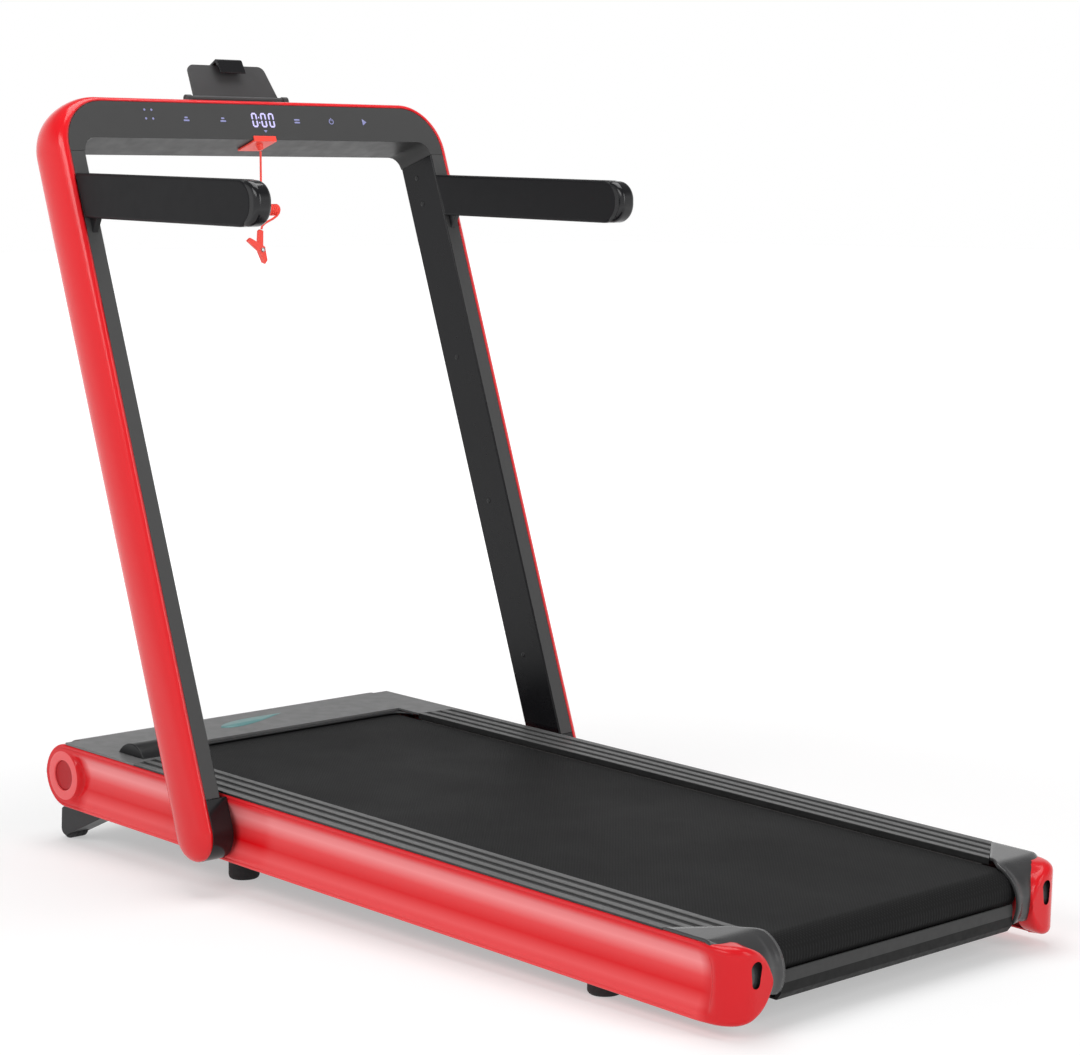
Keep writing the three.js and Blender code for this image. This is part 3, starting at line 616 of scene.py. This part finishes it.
def add_cord():
    """The limp cord from the key to its clip."""
    points = cord_route()
    curve = bpy.data.curves.new("safety_cord", "CURVE")
    curve.dimensions = "3D"
    curve.bevel_depth = CORD_D / 2
    curve.bevel_resolution = 3
    curve.use_fill_caps = True
    spline = curve.splines.new("POLY")
    spline.points.add(len(points) - 1)
    for slot, point in zip(spline.points, points):
        slot.co = (*point, 1)
    spline.use_smooth = True
    cord = bpy.data.objects.new("safety_cord_jacket", curve)
    bpy.context.scene.collection.objects.link(cord)
    curve.materials.append(RED_CORD)
    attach(cord, "hanging_cord")
    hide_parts("safety_cord", "cord_bundle")


# ------------------------------------------------------------ upright shell
def shell_stations():
    """(frame at the seam, half width, crown) from the left foot to the right."""
    bend_z = CONSOLE_TOP - CORNER_R
    bend_y = SEAM - CORNER_R
    stations = []
    for i in range(1, 11):
        angle = math.pi / 2 * i / 10
        drop = LEG_HALF * math.cos(angle)
        scale = max(0.02, math.sin(angle))
        stations.append(((SEAM, -drop), 0, LEG_HALF * scale, SIDE_CROWN * scale))
    for i in range(1, 8):
        stations.append(((SEAM, bend_z * i / 8), 0, LEG_HALF, SIDE_CROWN))
    for i in range(19):
        degrees = 90 * i / 18
        angle = math.radians(degrees)
        crown = TOP_CROWN + (SIDE_CROWN - TOP_CROWN) * math.cos(angle)
        at = (bend_y + CORNER_R * math.cos(angle), bend_z + CORNER_R * math.sin(angle))
        stations.append((at, degrees, LEG_HALF, crown))
    stations.append(((bend_y / 2, CONSOLE_TOP), 90, LEG_HALF, TOP_CROWN))
    other = [((-y, z), 180 - turn, half, crown) for (y, z), turn, half, crown in reversed(stations)]
    return stations + [((0, CONSOLE_TOP), 90, LEG_HALF, TOP_CROWN)] + other


def add_red_shell():
    """The glossy outer shell runs up one leg, over the console and down the other."""
    def build(work):
        rows = []
        for (y, z), turn, half, crown in shell_stations():
            out = Vector((0, math.cos(math.radians(turn)), math.sin(math.radians(turn))))
            row = []
            for i in range(25):
                angle = math.pi * i / 24
                rise = crown * math.sin(angle) ** 0.85
                centre = Vector((half * math.cos(angle), y, z))
                row.append(UPRIGHT @ ((centre + out * rise) * MM))
            rows.append(row)
        grid_faces(work, rows, closed_rows=True, closed_ends=True)
    mesh = mesh_from("red_shell", build)
    piece = piece_from(
        "upright_red_shell", mesh, "upright_frame", RED,
        ["outer_shell_left", "outer_shell_right", "outer_shell_top"],
    )
    piece.modifiers.new("even_shading", "WEIGHTED_NORMAL")


# -------------------------------------------------------------- side covers
def plan_point(s):
    """Point and inward normal of the cover's outer face, seen from above."""
    if s <= CORNER_X:
        return (s, COVER_OUT), (0, -1)
    if s <= CORNER_X + QUARTER:
        angle = math.pi / 2 - (s - CORNER_X) / PLAN_R
        x = CORNER_X + PLAN_R * math.cos(angle)
        y = CORNER_Y + PLAN_R * math.sin(angle)
        return (x, y), (-math.cos(angle), -math.sin(angle))
    rest = s - CORNER_X - QUARTER
    return (BASE_LENGTH, CORNER_Y - rest), (-1, 0)


def half_height(s):
    """Half the height of a cover: a round front end and a leaf-shaped rear end."""
    middle = COVER_TALL / 2
    if s < middle:
        return math.sqrt(max(0.02, middle ** 2 - (middle - s) ** 2))
    begins = CORNER_X + 4
    turned = (s - begins) / (PATH_END - begins)
    if turned <= 0:
        return middle
    return middle * max(0.004, 1 - turned ** 4) ** 0.5


HOLLOW_HALF = 32.5
HOLLOW_DEEP = 9.6
RECESS_DEEP = 4.5


def channel_depth(x, s, z):
    """Depth of the long hollow in a cover's outer face, and of the recess in its boss."""
    from_boss = math.hypot(x - BOSS[0], z - BOSS[1])
    if from_boss < BOSS_RECESS_R + 4:
        return RECESS_DEEP
    t = (z - COVER_TALL / 2) / HOLLOW_HALF
    if abs(t) >= 1 or x <= BOSS[0]:
        return 0
    boss = blend_step(from_boss, BOSS_R, BOSS_R + 3)
    before_end = 1 - blend_step(s, CORNER_X - 6, CORNER_X + 4)
    return HOLLOW_DEEP * (1 - t * t) ** 0.95 * boss * before_end


COVER_DEEP = 24.2
WALL_IN = 14
RIM_IN = 10


def cover_row(s):
    """Closed section of a cover: rim, shoulder, trim line and hollow, then the inner wall."""
    (x, y), (nx, ny) = plan_point(s)
    half = half_height(s)
    middle = COVER_TALL / 2
    shoulder = min(2.6 + 6 * blend_step(s, BASE_LENGTH - 60, BASE_LENGTH - 10), half * 0.5)
    outer = []
    for i in range(6):
        angle = math.pi / 2 * i / 5
        outer.append((shoulder * (1 - math.sin(angle)), half - shoulder * (1 - math.cos(angle))))
    flat = half - shoulder
    line = 0.7 * blend_step(half, 30, 40) * (1 - blend_step(s, BASE_LENGTH - 60, BASE_LENGTH - 40))
    upper = [(0, flat - 1.2), (line, flat - 1.7), (line, flat - 2.5), (0, flat - 3)]
    levels = [(flat - 4.6) * (1 - k / 16) for k in range(16)]
    upper += [(channel_depth(x, s, middle + level), level) for level in levels]
    upper = outer + upper
    row = [(COVER_DEEP, half), (RIM_IN, half)] + upper + [(channel_depth(x, s, middle), 0)]
    row += [(inset, -level) for inset, level in reversed(upper)]
    row += [(RIM_IN, -half), (COVER_DEEP, -half)]
    inner = max(0.3, half - 2.6)
    wall = inner * 0.98
    row += [(COVER_DEEP, -inner), (WALL_IN, -wall), (WALL_IN, wall), (COVER_DEEP, inner)]
    return [Vector((x + nx * inset, y + ny * inset, middle + level)) for inset, level in row]


def cover_stations():
    """Distances along a cover, closest where its outline turns."""
    stations = [0.05, 0.4, 1.2, 2.5] + [4 + 1.5 * i for i in range(54)]
    stations += [90 + 45 * i for i in range(24)]
    stations += [1150 + 6 * i for i in range(8)]
    stations += [1196 + 2 * i for i in range(7)]
    rest = PATH_END - CORNER_X
    return stations + [CORNER_X + rest * math.sin(math.pi / 2 * i / 26) for i in range(1, 27)]


def add_side_cover(side):
    """Red cover with a raised ring and a darker disc at its front."""
    sign = 1 if side == "right" else -1

    def build(work):
        rows = []
        for s in cover_stations():
            rows.append([BASE @ (Vector((p.x, sign * p.y, p.z)) * MM) for p in cover_row(s)])
        grid_faces(work, rows, closed_rows=True, closed_ends=True)
    mesh = mesh_from(f"side_cover_{side}", build)
    cover = piece_from(
        f"side_cover_{side}_finish", mesh, "base", RED_COVER, [f"side_cover_{side}"],
    )
    cut_slot(cover, sign)
    cover.modifiers.new("even_shading", "WEIGHTED_NORMAL")
    face = BASE @ Matrix.Translation(Vector((BOSS[0], sign * COVER_OUT, BOSS[1])) * MM)
    face = face @ Matrix.Rotation(-sign * math.pi / 2, 4, "X")
    ring = [
        (BOSS_RECESS_R, -4.2), (BOSS_RECESS_R, -0.9), (BOSS_RECESS_R + 0.5, -0.2),
        (BOSS_RECESS_R + 1.6, 0.25), (BOSS_R - 3, 0.25), (BOSS_R - 1, -0.1), (BOSS_R, -1.2),
        (BOSS_R, -4.2),
    ]
    # The ring's paler red is painted sheen.
    lathe(f"cover_boss_{side}", face, ring, "base", RED_RING_PAINTED_SHEEN, 64)
    rim = BOSS_RECESS_R - 0.2
    disc = [(0.2, -2.6), (14, -2.6), (17.5, -2.3), (rim, -1.6), (rim, -4.4)]
    lathe(f"cover_disc_{side}", face, disc, "base", RED_DARK, 48)


def cut_slot(cover, sign):
    """Tall slot in the rear end, over the belt's tension bolt."""
    def build(work):
        points = []
        for centre_y, centre_z, radius, start in ((244, 61, 7.5, 0), (244.5, 45, 5.5, math.pi)):
            for i in range(9):
                angle = start + math.pi * i / 8
                points.append((
                    centre_y + radius * math.cos(angle), centre_z + radius * math.sin(angle),
                ))
        rows = [
            [BASE @ (Vector((x, sign * y, z)) * MM) for y, z in points]
            for x in (BASE_LENGTH - 43, BASE_LENGTH + 17)
        ]
        grid_faces(work, rows, closed_rows=True, closed_ends=True)
    tool_mesh = mesh_from("slot_tool", build)
    tool = bpy.data.objects.new("slot_tool", tool_mesh)
    bpy.context.scene.collection.objects.link(tool)
    cutter = cover.modifiers.new("slot", "BOOLEAN")
    cutter.operation = "DIFFERENCE"
    cutter.object = tool
    cutter.solver = "EXACT"
    bpy.context.view_layer.update()
    graph = bpy.context.evaluated_depsgraph_get()
    cut_mesh = bpy.data.meshes.new_from_object(cover.evaluated_get(graph))
    cover.modifiers.remove(cutter)
    old = cover.data
    cover.data = cut_mesh
    bpy.data.meshes.remove(old)
    bpy.data.objects.remove(tool)


# ---------------------------------------------------------------- rear caps
CAP_X = 1197.5
CAP_Z = 45.5
CAP_R = 41.5
CAP_IN = 196
CAP_OUT = 275.5
CAP_SPAN = CAP_OUT - CAP_IN
CAP_WALL = 2.4
CAP_FRONT = 1184
FLAT_STEPS = 6
ROLL_STEPS = 22


def cap_inner_edge(x):
    """The cap flares from the belt's width out to the foot rail's inner edge."""
    return CAP_IN + 17.5 * (1 - blend_step(x, CAP_FRONT, CAP_FRONT + 28))


def roll_angle(step):
    """The cap rolls from straight up, over the rear, to under the belt."""
    return math.radians(90 - 123 * step / ROLL_STEPS)


def cap_section(y):
    """Side view of the cap at one distance from the middle, from its front to its foot."""
    reach = CAP_R
    if y > CORNER_Y:
        bend = PLAN_R - 1
        across = min(1, (y - CORNER_Y) / bend)
        reach = min(CAP_R, CORNER_X - CAP_X + bend * math.sqrt(1 - across ** 2))
    start = CAP_FRONT - 45 * (y - CAP_IN) / CAP_SPAN
    points = [
        (start + (CAP_X - start) * i / FLAT_STEPS, CAP_Z + CAP_R) for i in range(FLAT_STEPS)
    ]
    for i in range(ROLL_STEPS + 1):
        angle = roll_angle(i)
        points.append((CAP_X + reach * math.cos(angle), CAP_Z + CAP_R * math.sin(angle)))
    return points


def add_rear_cap(side):
    """Glossy cap that rolls over the rear end between the belt and the red cover."""
    sign = 1 if side == "right" else -1

    def build(work):
        rows = []
        for i in range(19):
            share = i / 18
            outer = []
            inner = []
            for k, (x, z) in enumerate(cap_section(CAP_IN + CAP_SPAN * share)):
                edge = cap_inner_edge(x)
                y = edge + (CAP_OUT - edge) * share
                groove = max(0, 1 - abs(y - edge - 13) / 7)
                dip = 1.6 * groove * blend_step(x + (CAP_Z + CAP_R - z), 1205, 1230)
                turn = roll_angle(max(0, k - FLAT_STEPS))
                nx = math.cos(turn) if k >= FLAT_STEPS else 0
                nz = math.sin(turn)
                outer.append(BASE @ (Vector((x - nx * dip, sign * y, z - nz * dip)) * MM))
                inner.append(
                    BASE @ (Vector((x - nx * CAP_WALL, sign * y, z - nz * CAP_WALL)) * MM)
                )
            rows.append(outer + inner[::-1])
        grid_faces(work, rows, closed_rows=True, closed_ends=True)
    mesh = mesh_from(f"rear_cap_{side}", build)
    cap = piece_from(
        f"rear_cap_{side}_finish", mesh, "base", CAP_GREY, [f"rear_cap_{side}"],
    )
    cap.modifiers.new("even_shading", "WEIGHTED_NORMAL")


# ------------------------------------------------------------ small details
def plate(name, matrix, outline, thick, body, material):
    """Thin plate from an outline in mm on the local YZ plane, raised along X."""
    def build(work):
        rows = [[matrix @ (Vector((x, y, z)) * MM) for y, z in outline] for x in (0, thick)]
        grid_faces(work, rows, closed_rows=True, closed_ends=True)
    return piece_from(name, mesh_from(name, build), body, material)


def round_box(width, height, radius, y=0, z=0):
    """Outline of a box with round corners."""
    steps = 3
    points = []
    corners = ((1, 1, 0), (-1, 1, 90), (-1, -1, 180), (1, -1, 270))
    for sy, sz, turn in corners:
        cy = y + sy * (width / 2 - radius)
        cz = z + sz * (height / 2 - radius)
        for i in range(steps + 1):
            angle = math.radians(turn + 90 * i / steps)
            points.append((cy + radius * math.cos(angle), cz + radius * math.sin(angle)))
    return points


def ring_outline(radius, width, y, z):
    """Open ring as one outline, with its gap at the top."""
    gap = 50
    turns = [math.radians(90 + gap / 2 + (360 - gap) * i / 20) for i in range(21)]
    inner = radius - width
    points = [(y + radius * math.cos(turn), z + radius * math.sin(turn)) for turn in turns]
    points += [(y + inner * math.cos(turn), z + inner * math.sin(turn)) for turn in turns[::-1]]
    return points


FACE = UPRIGHT @ Matrix.Translation(Vector((LEG_HALF + 0.05, 0, 0)) * MM)
DISPLAY_Z = 913
DIGIT_TALL = 20
DIGIT_WIDE = 9
SEGMENT = 2.2


def lit_mark(name, outline, material):
    plate(name, FACE, outline, 0.25, "upright_frame", material)


def add_zero(index, y):
    """A seven-segment nought: six bars with round ends."""
    half = DIGIT_TALL / 2
    bars = []
    for up in (-1, 1):
        centre_z = DISPLAY_Z + up * (half - SEGMENT / 2)
        bars.append(round_box(DIGIT_WIDE - 3, SEGMENT, 0.8, y, centre_z))
    for across in (-1, 1):
        for up in (-1, 1):
            centre_y = y + across * (DIGIT_WIDE - SEGMENT) / 2
            centre_z = DISPLAY_Z + up * (half / 2 - 0.3)
            bars.append(round_box(SEGMENT, half - 2.4, 0.8, centre_y, centre_z))
    for number, outline in enumerate(bars):
        lit_mark(f"display_digit_{index}_{number}", outline, SCREEN_GLOW)


def add_display():
    """The time in noughts, and the faint marks of the touch keys on either side."""
    for index, y in enumerate((-9.5, 5.5, 18.5)):
        add_zero(index, y)
    for index, z in enumerate((-3.6, 3.6)):
        lit_mark(f"display_colon_{index}", round_box(2, 2, 0.7, -2, DISPLAY_Z + z), SCREEN_GLOW)
    shapes = {}
    for across in (-1, 1):
        for up in (-1, 1):
            centre = (-179 + across * 5.5, 918 + up * 6)
            shapes[f"programme_dot_{across + 1}{up + 1}"] = round_box(3, 3, 1.4, *centre)
    for index, y in enumerate((-121, -61.8, 61.8)):
        for bar, z in enumerate((-2.4, 1.4)):
            width = 9 if bar == 0 or index == 2 else 5
            shapes[f"key_bar_{index}_{bar}"] = round_box(width, 2.2, 0.8, y, DISPLAY_Z + z)
    shapes["start_ring"] = ring_outline(4, 1.1, 121, DISPLAY_Z)
    shapes["start_bar"] = round_box(1.1, 4.5, 0.5, 121, DISPLAY_Z + 3)
    shapes["faster_arrow"] = [(176, 908.5), (183, 913), (176, 917.5)]
    shapes["signal_mark"] = [(2, 899), (5, 895.5), (8, 899)]
    for name, outline in shapes.items():
        lit_mark(name, outline, FAINT_GLOW)


def add_screws():
    """Recessed pan-head screws down the inner face of each leg."""
    profile = [(0.2, 0.5), (1.1, 0.5), (1.2, 0.95), (2.6, 0.9), (3.3, 0.5), (3.5, 0), (3.5, -0.5)]
    for sign, side in ((1, "right"), (-1, "left")):
        for index, z in enumerate((157, 377, 584, 808, 846)):
            at = UPRIGHT @ Matrix.Translation(Vector((-5, sign * LEG_IN, z)) * MM)
            at = at @ Matrix.Rotation(sign * math.pi / 2, 4, "X")
            lathe(f"leg_screw_{side}_{index}", at, profile, "upright_frame", BLACK, 20)


ARM_REACH = 346
ARM_LOW = -7
ARM_HIGH = 47.6
ARM_END_R = 25
ARM_DROOP = 1.48
LEG_LEAN = 18.52
ARM_LEAN = LEG_LEAN + ARM_DROOP
ARM_SEAM = 12
ARM_EDGE = 7
SLEEVE_EDGE = 4
SLEEVE_PROUD = 0.5


def arm_outline(inset, reach):
    """Side view of a hand rail, drawn in by an inset all round."""
    low = ARM_LOW + inset
    high = ARM_HIGH - inset
    face = math.radians(ARM_LEAN)
    nose = reach - ARM_END_R
    radius = ARM_END_R - inset
    root = -ARM_LOW - inset * 0.5
    points = []
    for i in range(7):
        angle = math.radians(180 + ARM_LEAN + (90 - ARM_LEAN) * i / 6)
        points.append((root * math.cos(angle), max(low, root * math.sin(angle))))
    points[0] = (points[0][0] + inset, points[0][1])
    for i in range(25):
        angle = math.radians(-90 + 7.5 * i)
        centre = low + radius if i <= 12 else high - radius
        points.append((nose + radius * math.cos(angle), centre + radius * math.sin(angle)))
    climb = (high - ARM_LOW * math.sin(face)) / math.cos(face)
    points.append((ARM_LOW * math.cos(face) - climb * math.sin(face) + inset, high))
    return points


def edge_rows(half, edge):
    """(distance from the middle, inset) across a slab with rounded edges."""
    steps = 5
    rows = []
    for i in range(steps + 1):
        angle = math.pi / 2 * i / steps
        rows.append((half - edge + edge * math.sin(angle), edge * (1 - math.cos(angle))))
    return [(-across, inset) for across, inset in reversed(rows)] + rows


def add_rail_part(side, kind, reach, proud, edge, material, replaced):
    """A slab with the rail's side view, standing proud of the rail all round."""
    low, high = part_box(f"arm_{side}")
    pin = Vector(joints[f"hand_rail_fold_{side}"]["pos_m"])
    pin.y = (low.y + high.y) / 2
    local = Matrix.Translation(pin) @ Matrix.Rotation(math.radians(ARM_DROOP), 4, "Y")
    half = (high.y - low.y) / 2 / MM

    def build(work):
        rows = []
        for across, inset in edge_rows(half + proud, edge):
            outline = arm_outline(inset - proud, reach)
            rows.append([local @ (Vector((x, across, z)) * MM) for x, z in outline])
        grid_faces(work, rows, closed_rows=True, closed_ends=True)
    name = f"arm_{side}_{kind}"
    mesh = mesh_from(name, build)
    rail = piece_from(name, mesh, f"hand_rail_{side}", material, replaced)
    rail.modifiers.new("even_shading", "WEIGHTED_NORMAL")


def add_hand_rail(side):
    """Glossy rail in a satin sleeve whose round end stops short of the tip."""
    add_rail_part(side, "finish", ARM_REACH, 0, ARM_EDGE, GLOSS_BLACK, [f"arm_{side}"])
    sleeve = ARM_REACH - ARM_SEAM
    add_rail_part(side, "sleeve", sleeve, SLEEVE_PROUD, SLEEVE_EDGE, ARM_BLACK, [])


def add_clip_spring():
    """Coiled steel spring and rivet heads at the clip's pivot."""
    pivot = Vector(joints["clip_squeeze"]["pos_m"])
    at = Matrix.Translation(pivot) @ Matrix.Rotation(math.pi / 2, 4, "Y")
    profile = [(0.3, -5.6), (1.6, -5.6), (2.3, -5.1), (2.3, -4.4)]
    lathe("clip_rivet_front", at, profile, "hanging_cord", STEEL, 20)
    profile = [(0.3, 6.4), (1.6, 6.4), (2.4, 5.9)]
    for turn in range(3):
        profile += [(2.9, 5.7 - turn * 0.5), (2.5, 5.45 - turn * 0.5)]
    lathe("clip_rivet_back", at, profile, "hanging_cord", STEEL, 20)


def flat_on_base(z):
    """Local X up, Y across and Z towards the front of the base."""
    return BASE @ Matrix.Translation(Vector((0, 0, z)) * MM) @ Matrix.Rotation(-math.pi / 2, 4, "Y")


def add_accent():
    """Plain teal leaf on top of the motor cover."""
    outline = []
    for side in (-1, 1):
        for i in range(13):
            share = i / 12 if side < 0 else 1 - i / 12
            bulge = 15 * math.sin(math.pi * share ** 0.6) * side
            outline.append((-62 + 124 * share, -(96 - 26 * share + bulge)))
    plate("cover_accent", flat_on_base(87.0), outline, 0.2, "base", TEAL)


def add_painted_belt_shadow():
    """Black sheet behind the motor cover, with round corners, over the front of the belt: painted shadow where the
    cover's edge shades the belt.
    """
    back = 153
    wide = 212.6
    corner = 24
    outline = [(wide, -144.3), (wide, -(back + corner))]
    for i in range(1, 10):
        angle = math.pi / 2 * i / 9
        outline.append((
            wide - corner * (1 - math.cos(angle)), -(back + corner - corner * math.sin(angle)),
        ))
    outline += [(-y, z) for y, z in reversed(outline)]
    plate("painted_belt_shadow", flat_on_base(82.2), outline, 1.7, "base", BLACK)


def add_wheel_tread(side):
    """Grooved tread and hub disc on a transport wheel."""
    low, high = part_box(f"transport_wheel_{side}")
    centre = (low + high) / 2
    radius = (high.z - low.z) / 2 / MM
    half = (high.y - low.y) / 2 / MM
    at = Matrix.Translation(centre) @ Matrix.Rotation(-math.pi / 2, 4, "X")
    rim = [(3.4, half - 1), (8.5, half - 1), (9.2, half), (radius - 1.6, half)]
    rim += [(radius - 0.3, half - 1.2), (radius, half - 2.6)]
    profile = [(out, -across) for out, across in rim]
    for y in (-4.5, 4.5):
        profile += [(radius, y - 1.2), (radius - 1, y - 0.6)]
        profile += [(radius - 1, y + 0.6), (radius, y + 1.2)]
    profile += rim[::-1]
    lathe(
        f"wheel_tread_{side}", at, profile, f"wheel_{side}", TYRE, 48,
        [f"transport_wheel_{side}"],
    )


# ------------------------------------------------------------------ staging
def add_stage():
    """Floor that brightens to plain white away from the machine."""
    material, tree, shader = new_material("studio_floor")
    tone = object_noise(tree, 0.6)
    tint = two_colours(tree, tone, (0.51, 0.51, 0.51), (0.53, 0.53, 0.53))
    tree.links.new(tint, shader.inputs["Base Color"])
    shader.inputs["Roughness"].default_value = 0.7
    shader.inputs["Specular IOR Level"].default_value = 0.1
    shader.inputs["Emission Color"].default_value = (1, 1, 1, 1)
    coordinates = tree.nodes.new("ShaderNodeTexCoord")
    reach = tree.nodes.new("ShaderNodeVectorMath")
    reach.operation = "LENGTH"
    tree.links.new(coordinates.outputs["Object"], reach.inputs[0])
    faded = tree.nodes.new("ShaderNodeMapRange")
    faded.interpolation_type = "SMOOTHSTEP"
    faded.inputs["From Min"].default_value = 0.75
    faded.inputs["From Max"].default_value = 2.8
    faded.inputs["To Min"].default_value = 0.42
    tree.links.new(reach.outputs["Value"], faded.inputs["Value"])
    tree.links.new(faded.outputs["Result"], shader.inputs["Emission Strength"])
    size = 30

    def build(work):
        rows = [[Vector((x, y, 0)) for x in (-size, size)] for y in (-size, size)]
        grid_faces(work, rows)
    mesh = mesh_from("floor", build)
    floor = bpy.data.objects.new("studio_floor", mesh)
    bpy.context.scene.collection.objects.link(floor)
    mesh.materials.append(material)


def add_light(name, place, target, size, power):
    data = bpy.data.lights.new(name, "AREA")
    data.shape = "RECTANGLE"
    data.size, data.size_y = size
    data.energy = power
    light = bpy.data.objects.new(name, data)
    bpy.context.scene.collection.objects.link(light)
    light.location = place
    direction = Vector(target) - Vector(place)
    light.rotation_euler = direction.to_track_quat("-Z", "Y").to_euler()


def add_lights():
    """Pale horizon under a dim ceiling, with three softboxes."""
    bpy.context.scene.view_settings.view_transform = "Standard"
    world = bpy.data.worlds.new("studio")
    bpy.context.scene.world = world
    world.use_nodes = True
    tree = world.node_tree
    background = tree.nodes["Background"]
    coordinates = tree.nodes.new("ShaderNodeTexCoord")
    split = tree.nodes.new("ShaderNodeSeparateXYZ")
    ramp = tree.nodes.new("ShaderNodeValToRGB")
    tree.links.new(coordinates.outputs["Generated"], split.inputs["Vector"])
    tree.links.new(split.outputs["Z"], ramp.inputs["Fac"])
    horizon, ceiling = ramp.color_ramp.elements
    horizon.position, horizon.color = 0.22, (1, 1, 1, 1)
    ceiling.position, ceiling.color = 0.55, (0.2, 0.2, 0.2, 1)
    tree.links.new(ramp.outputs["Color"], background.inputs["Color"])
    middle = (0, 0, 0.4)
    add_light("key_softbox", (0.6, -3.0, 2.6), middle, (2.6, 1.2), 50)
    add_light("rear_softbox", (3.2, 0.6, 1.9), middle, (1.2, 2.2), 32)
    add_light("top_softbox", (-0.4, 0.2, 3.4), middle, (2.4, 2.4), 78)


# ----------------------------------------------------------------- assembly
# Rounding of each node's edges, in mm.
BEVELS = {
    "motor_cover": 1.2,
    "rear_bar": 0.8,
    "console_housing": 0.3,
    "running_belt": 0.3,
    "fold_pedal": 1.6,
    "holder_ledge": 0.8,
    "phone_plate": 1.0,
    "phone_clamp": 0.7,
    "safety_key": 0.8,
    "clip_body": 0.8,
    "clip_lever": 0.8,
    "power_inlet": 0.6,
    "power_switch": 0.5,
    "breaker_button": 0.6,
    "bottom_pan": 0.8,
    "controller": 2.0,
    "motor": 1.2,
}
PAIR_BEVELS = {
    "inner_shell": 0.3,
    "hinge_hub": 1.2,
    "arm_bracket": 0.8,
    "wheel_bracket": 1.0,
    "foot_front": 1.0,
    "foot_rear": 1.0,
    "tension_bolt": 0.5,
    "frame_rail": 0.8,
}
add_camera()
add_stage()
add_lights()
for pair, width in PAIR_BEVELS.items():
    BEVELS[f"{pair}_left"] = width
    BEVELS[f"{pair}_right"] = width
finished = {node: soften(node, width) for node, width in BEVELS.items()}
add_cord()
add_red_shell()
for hand in ("left", "right"):
    add_side_cover(hand)
    add_rear_cap(hand)
add_display()
add_screws()
for hand in ("left", "right"):
    add_hand_rail(hand)
add_clip_spring()
add_accent()
add_painted_belt_shadow()
for hand in ("left", "right"):
    add_wheel_tread(hand)

for node, shown in nodes.items():
    shown.data.materials.clear()
    shown.data.materials.append(material_of(node))
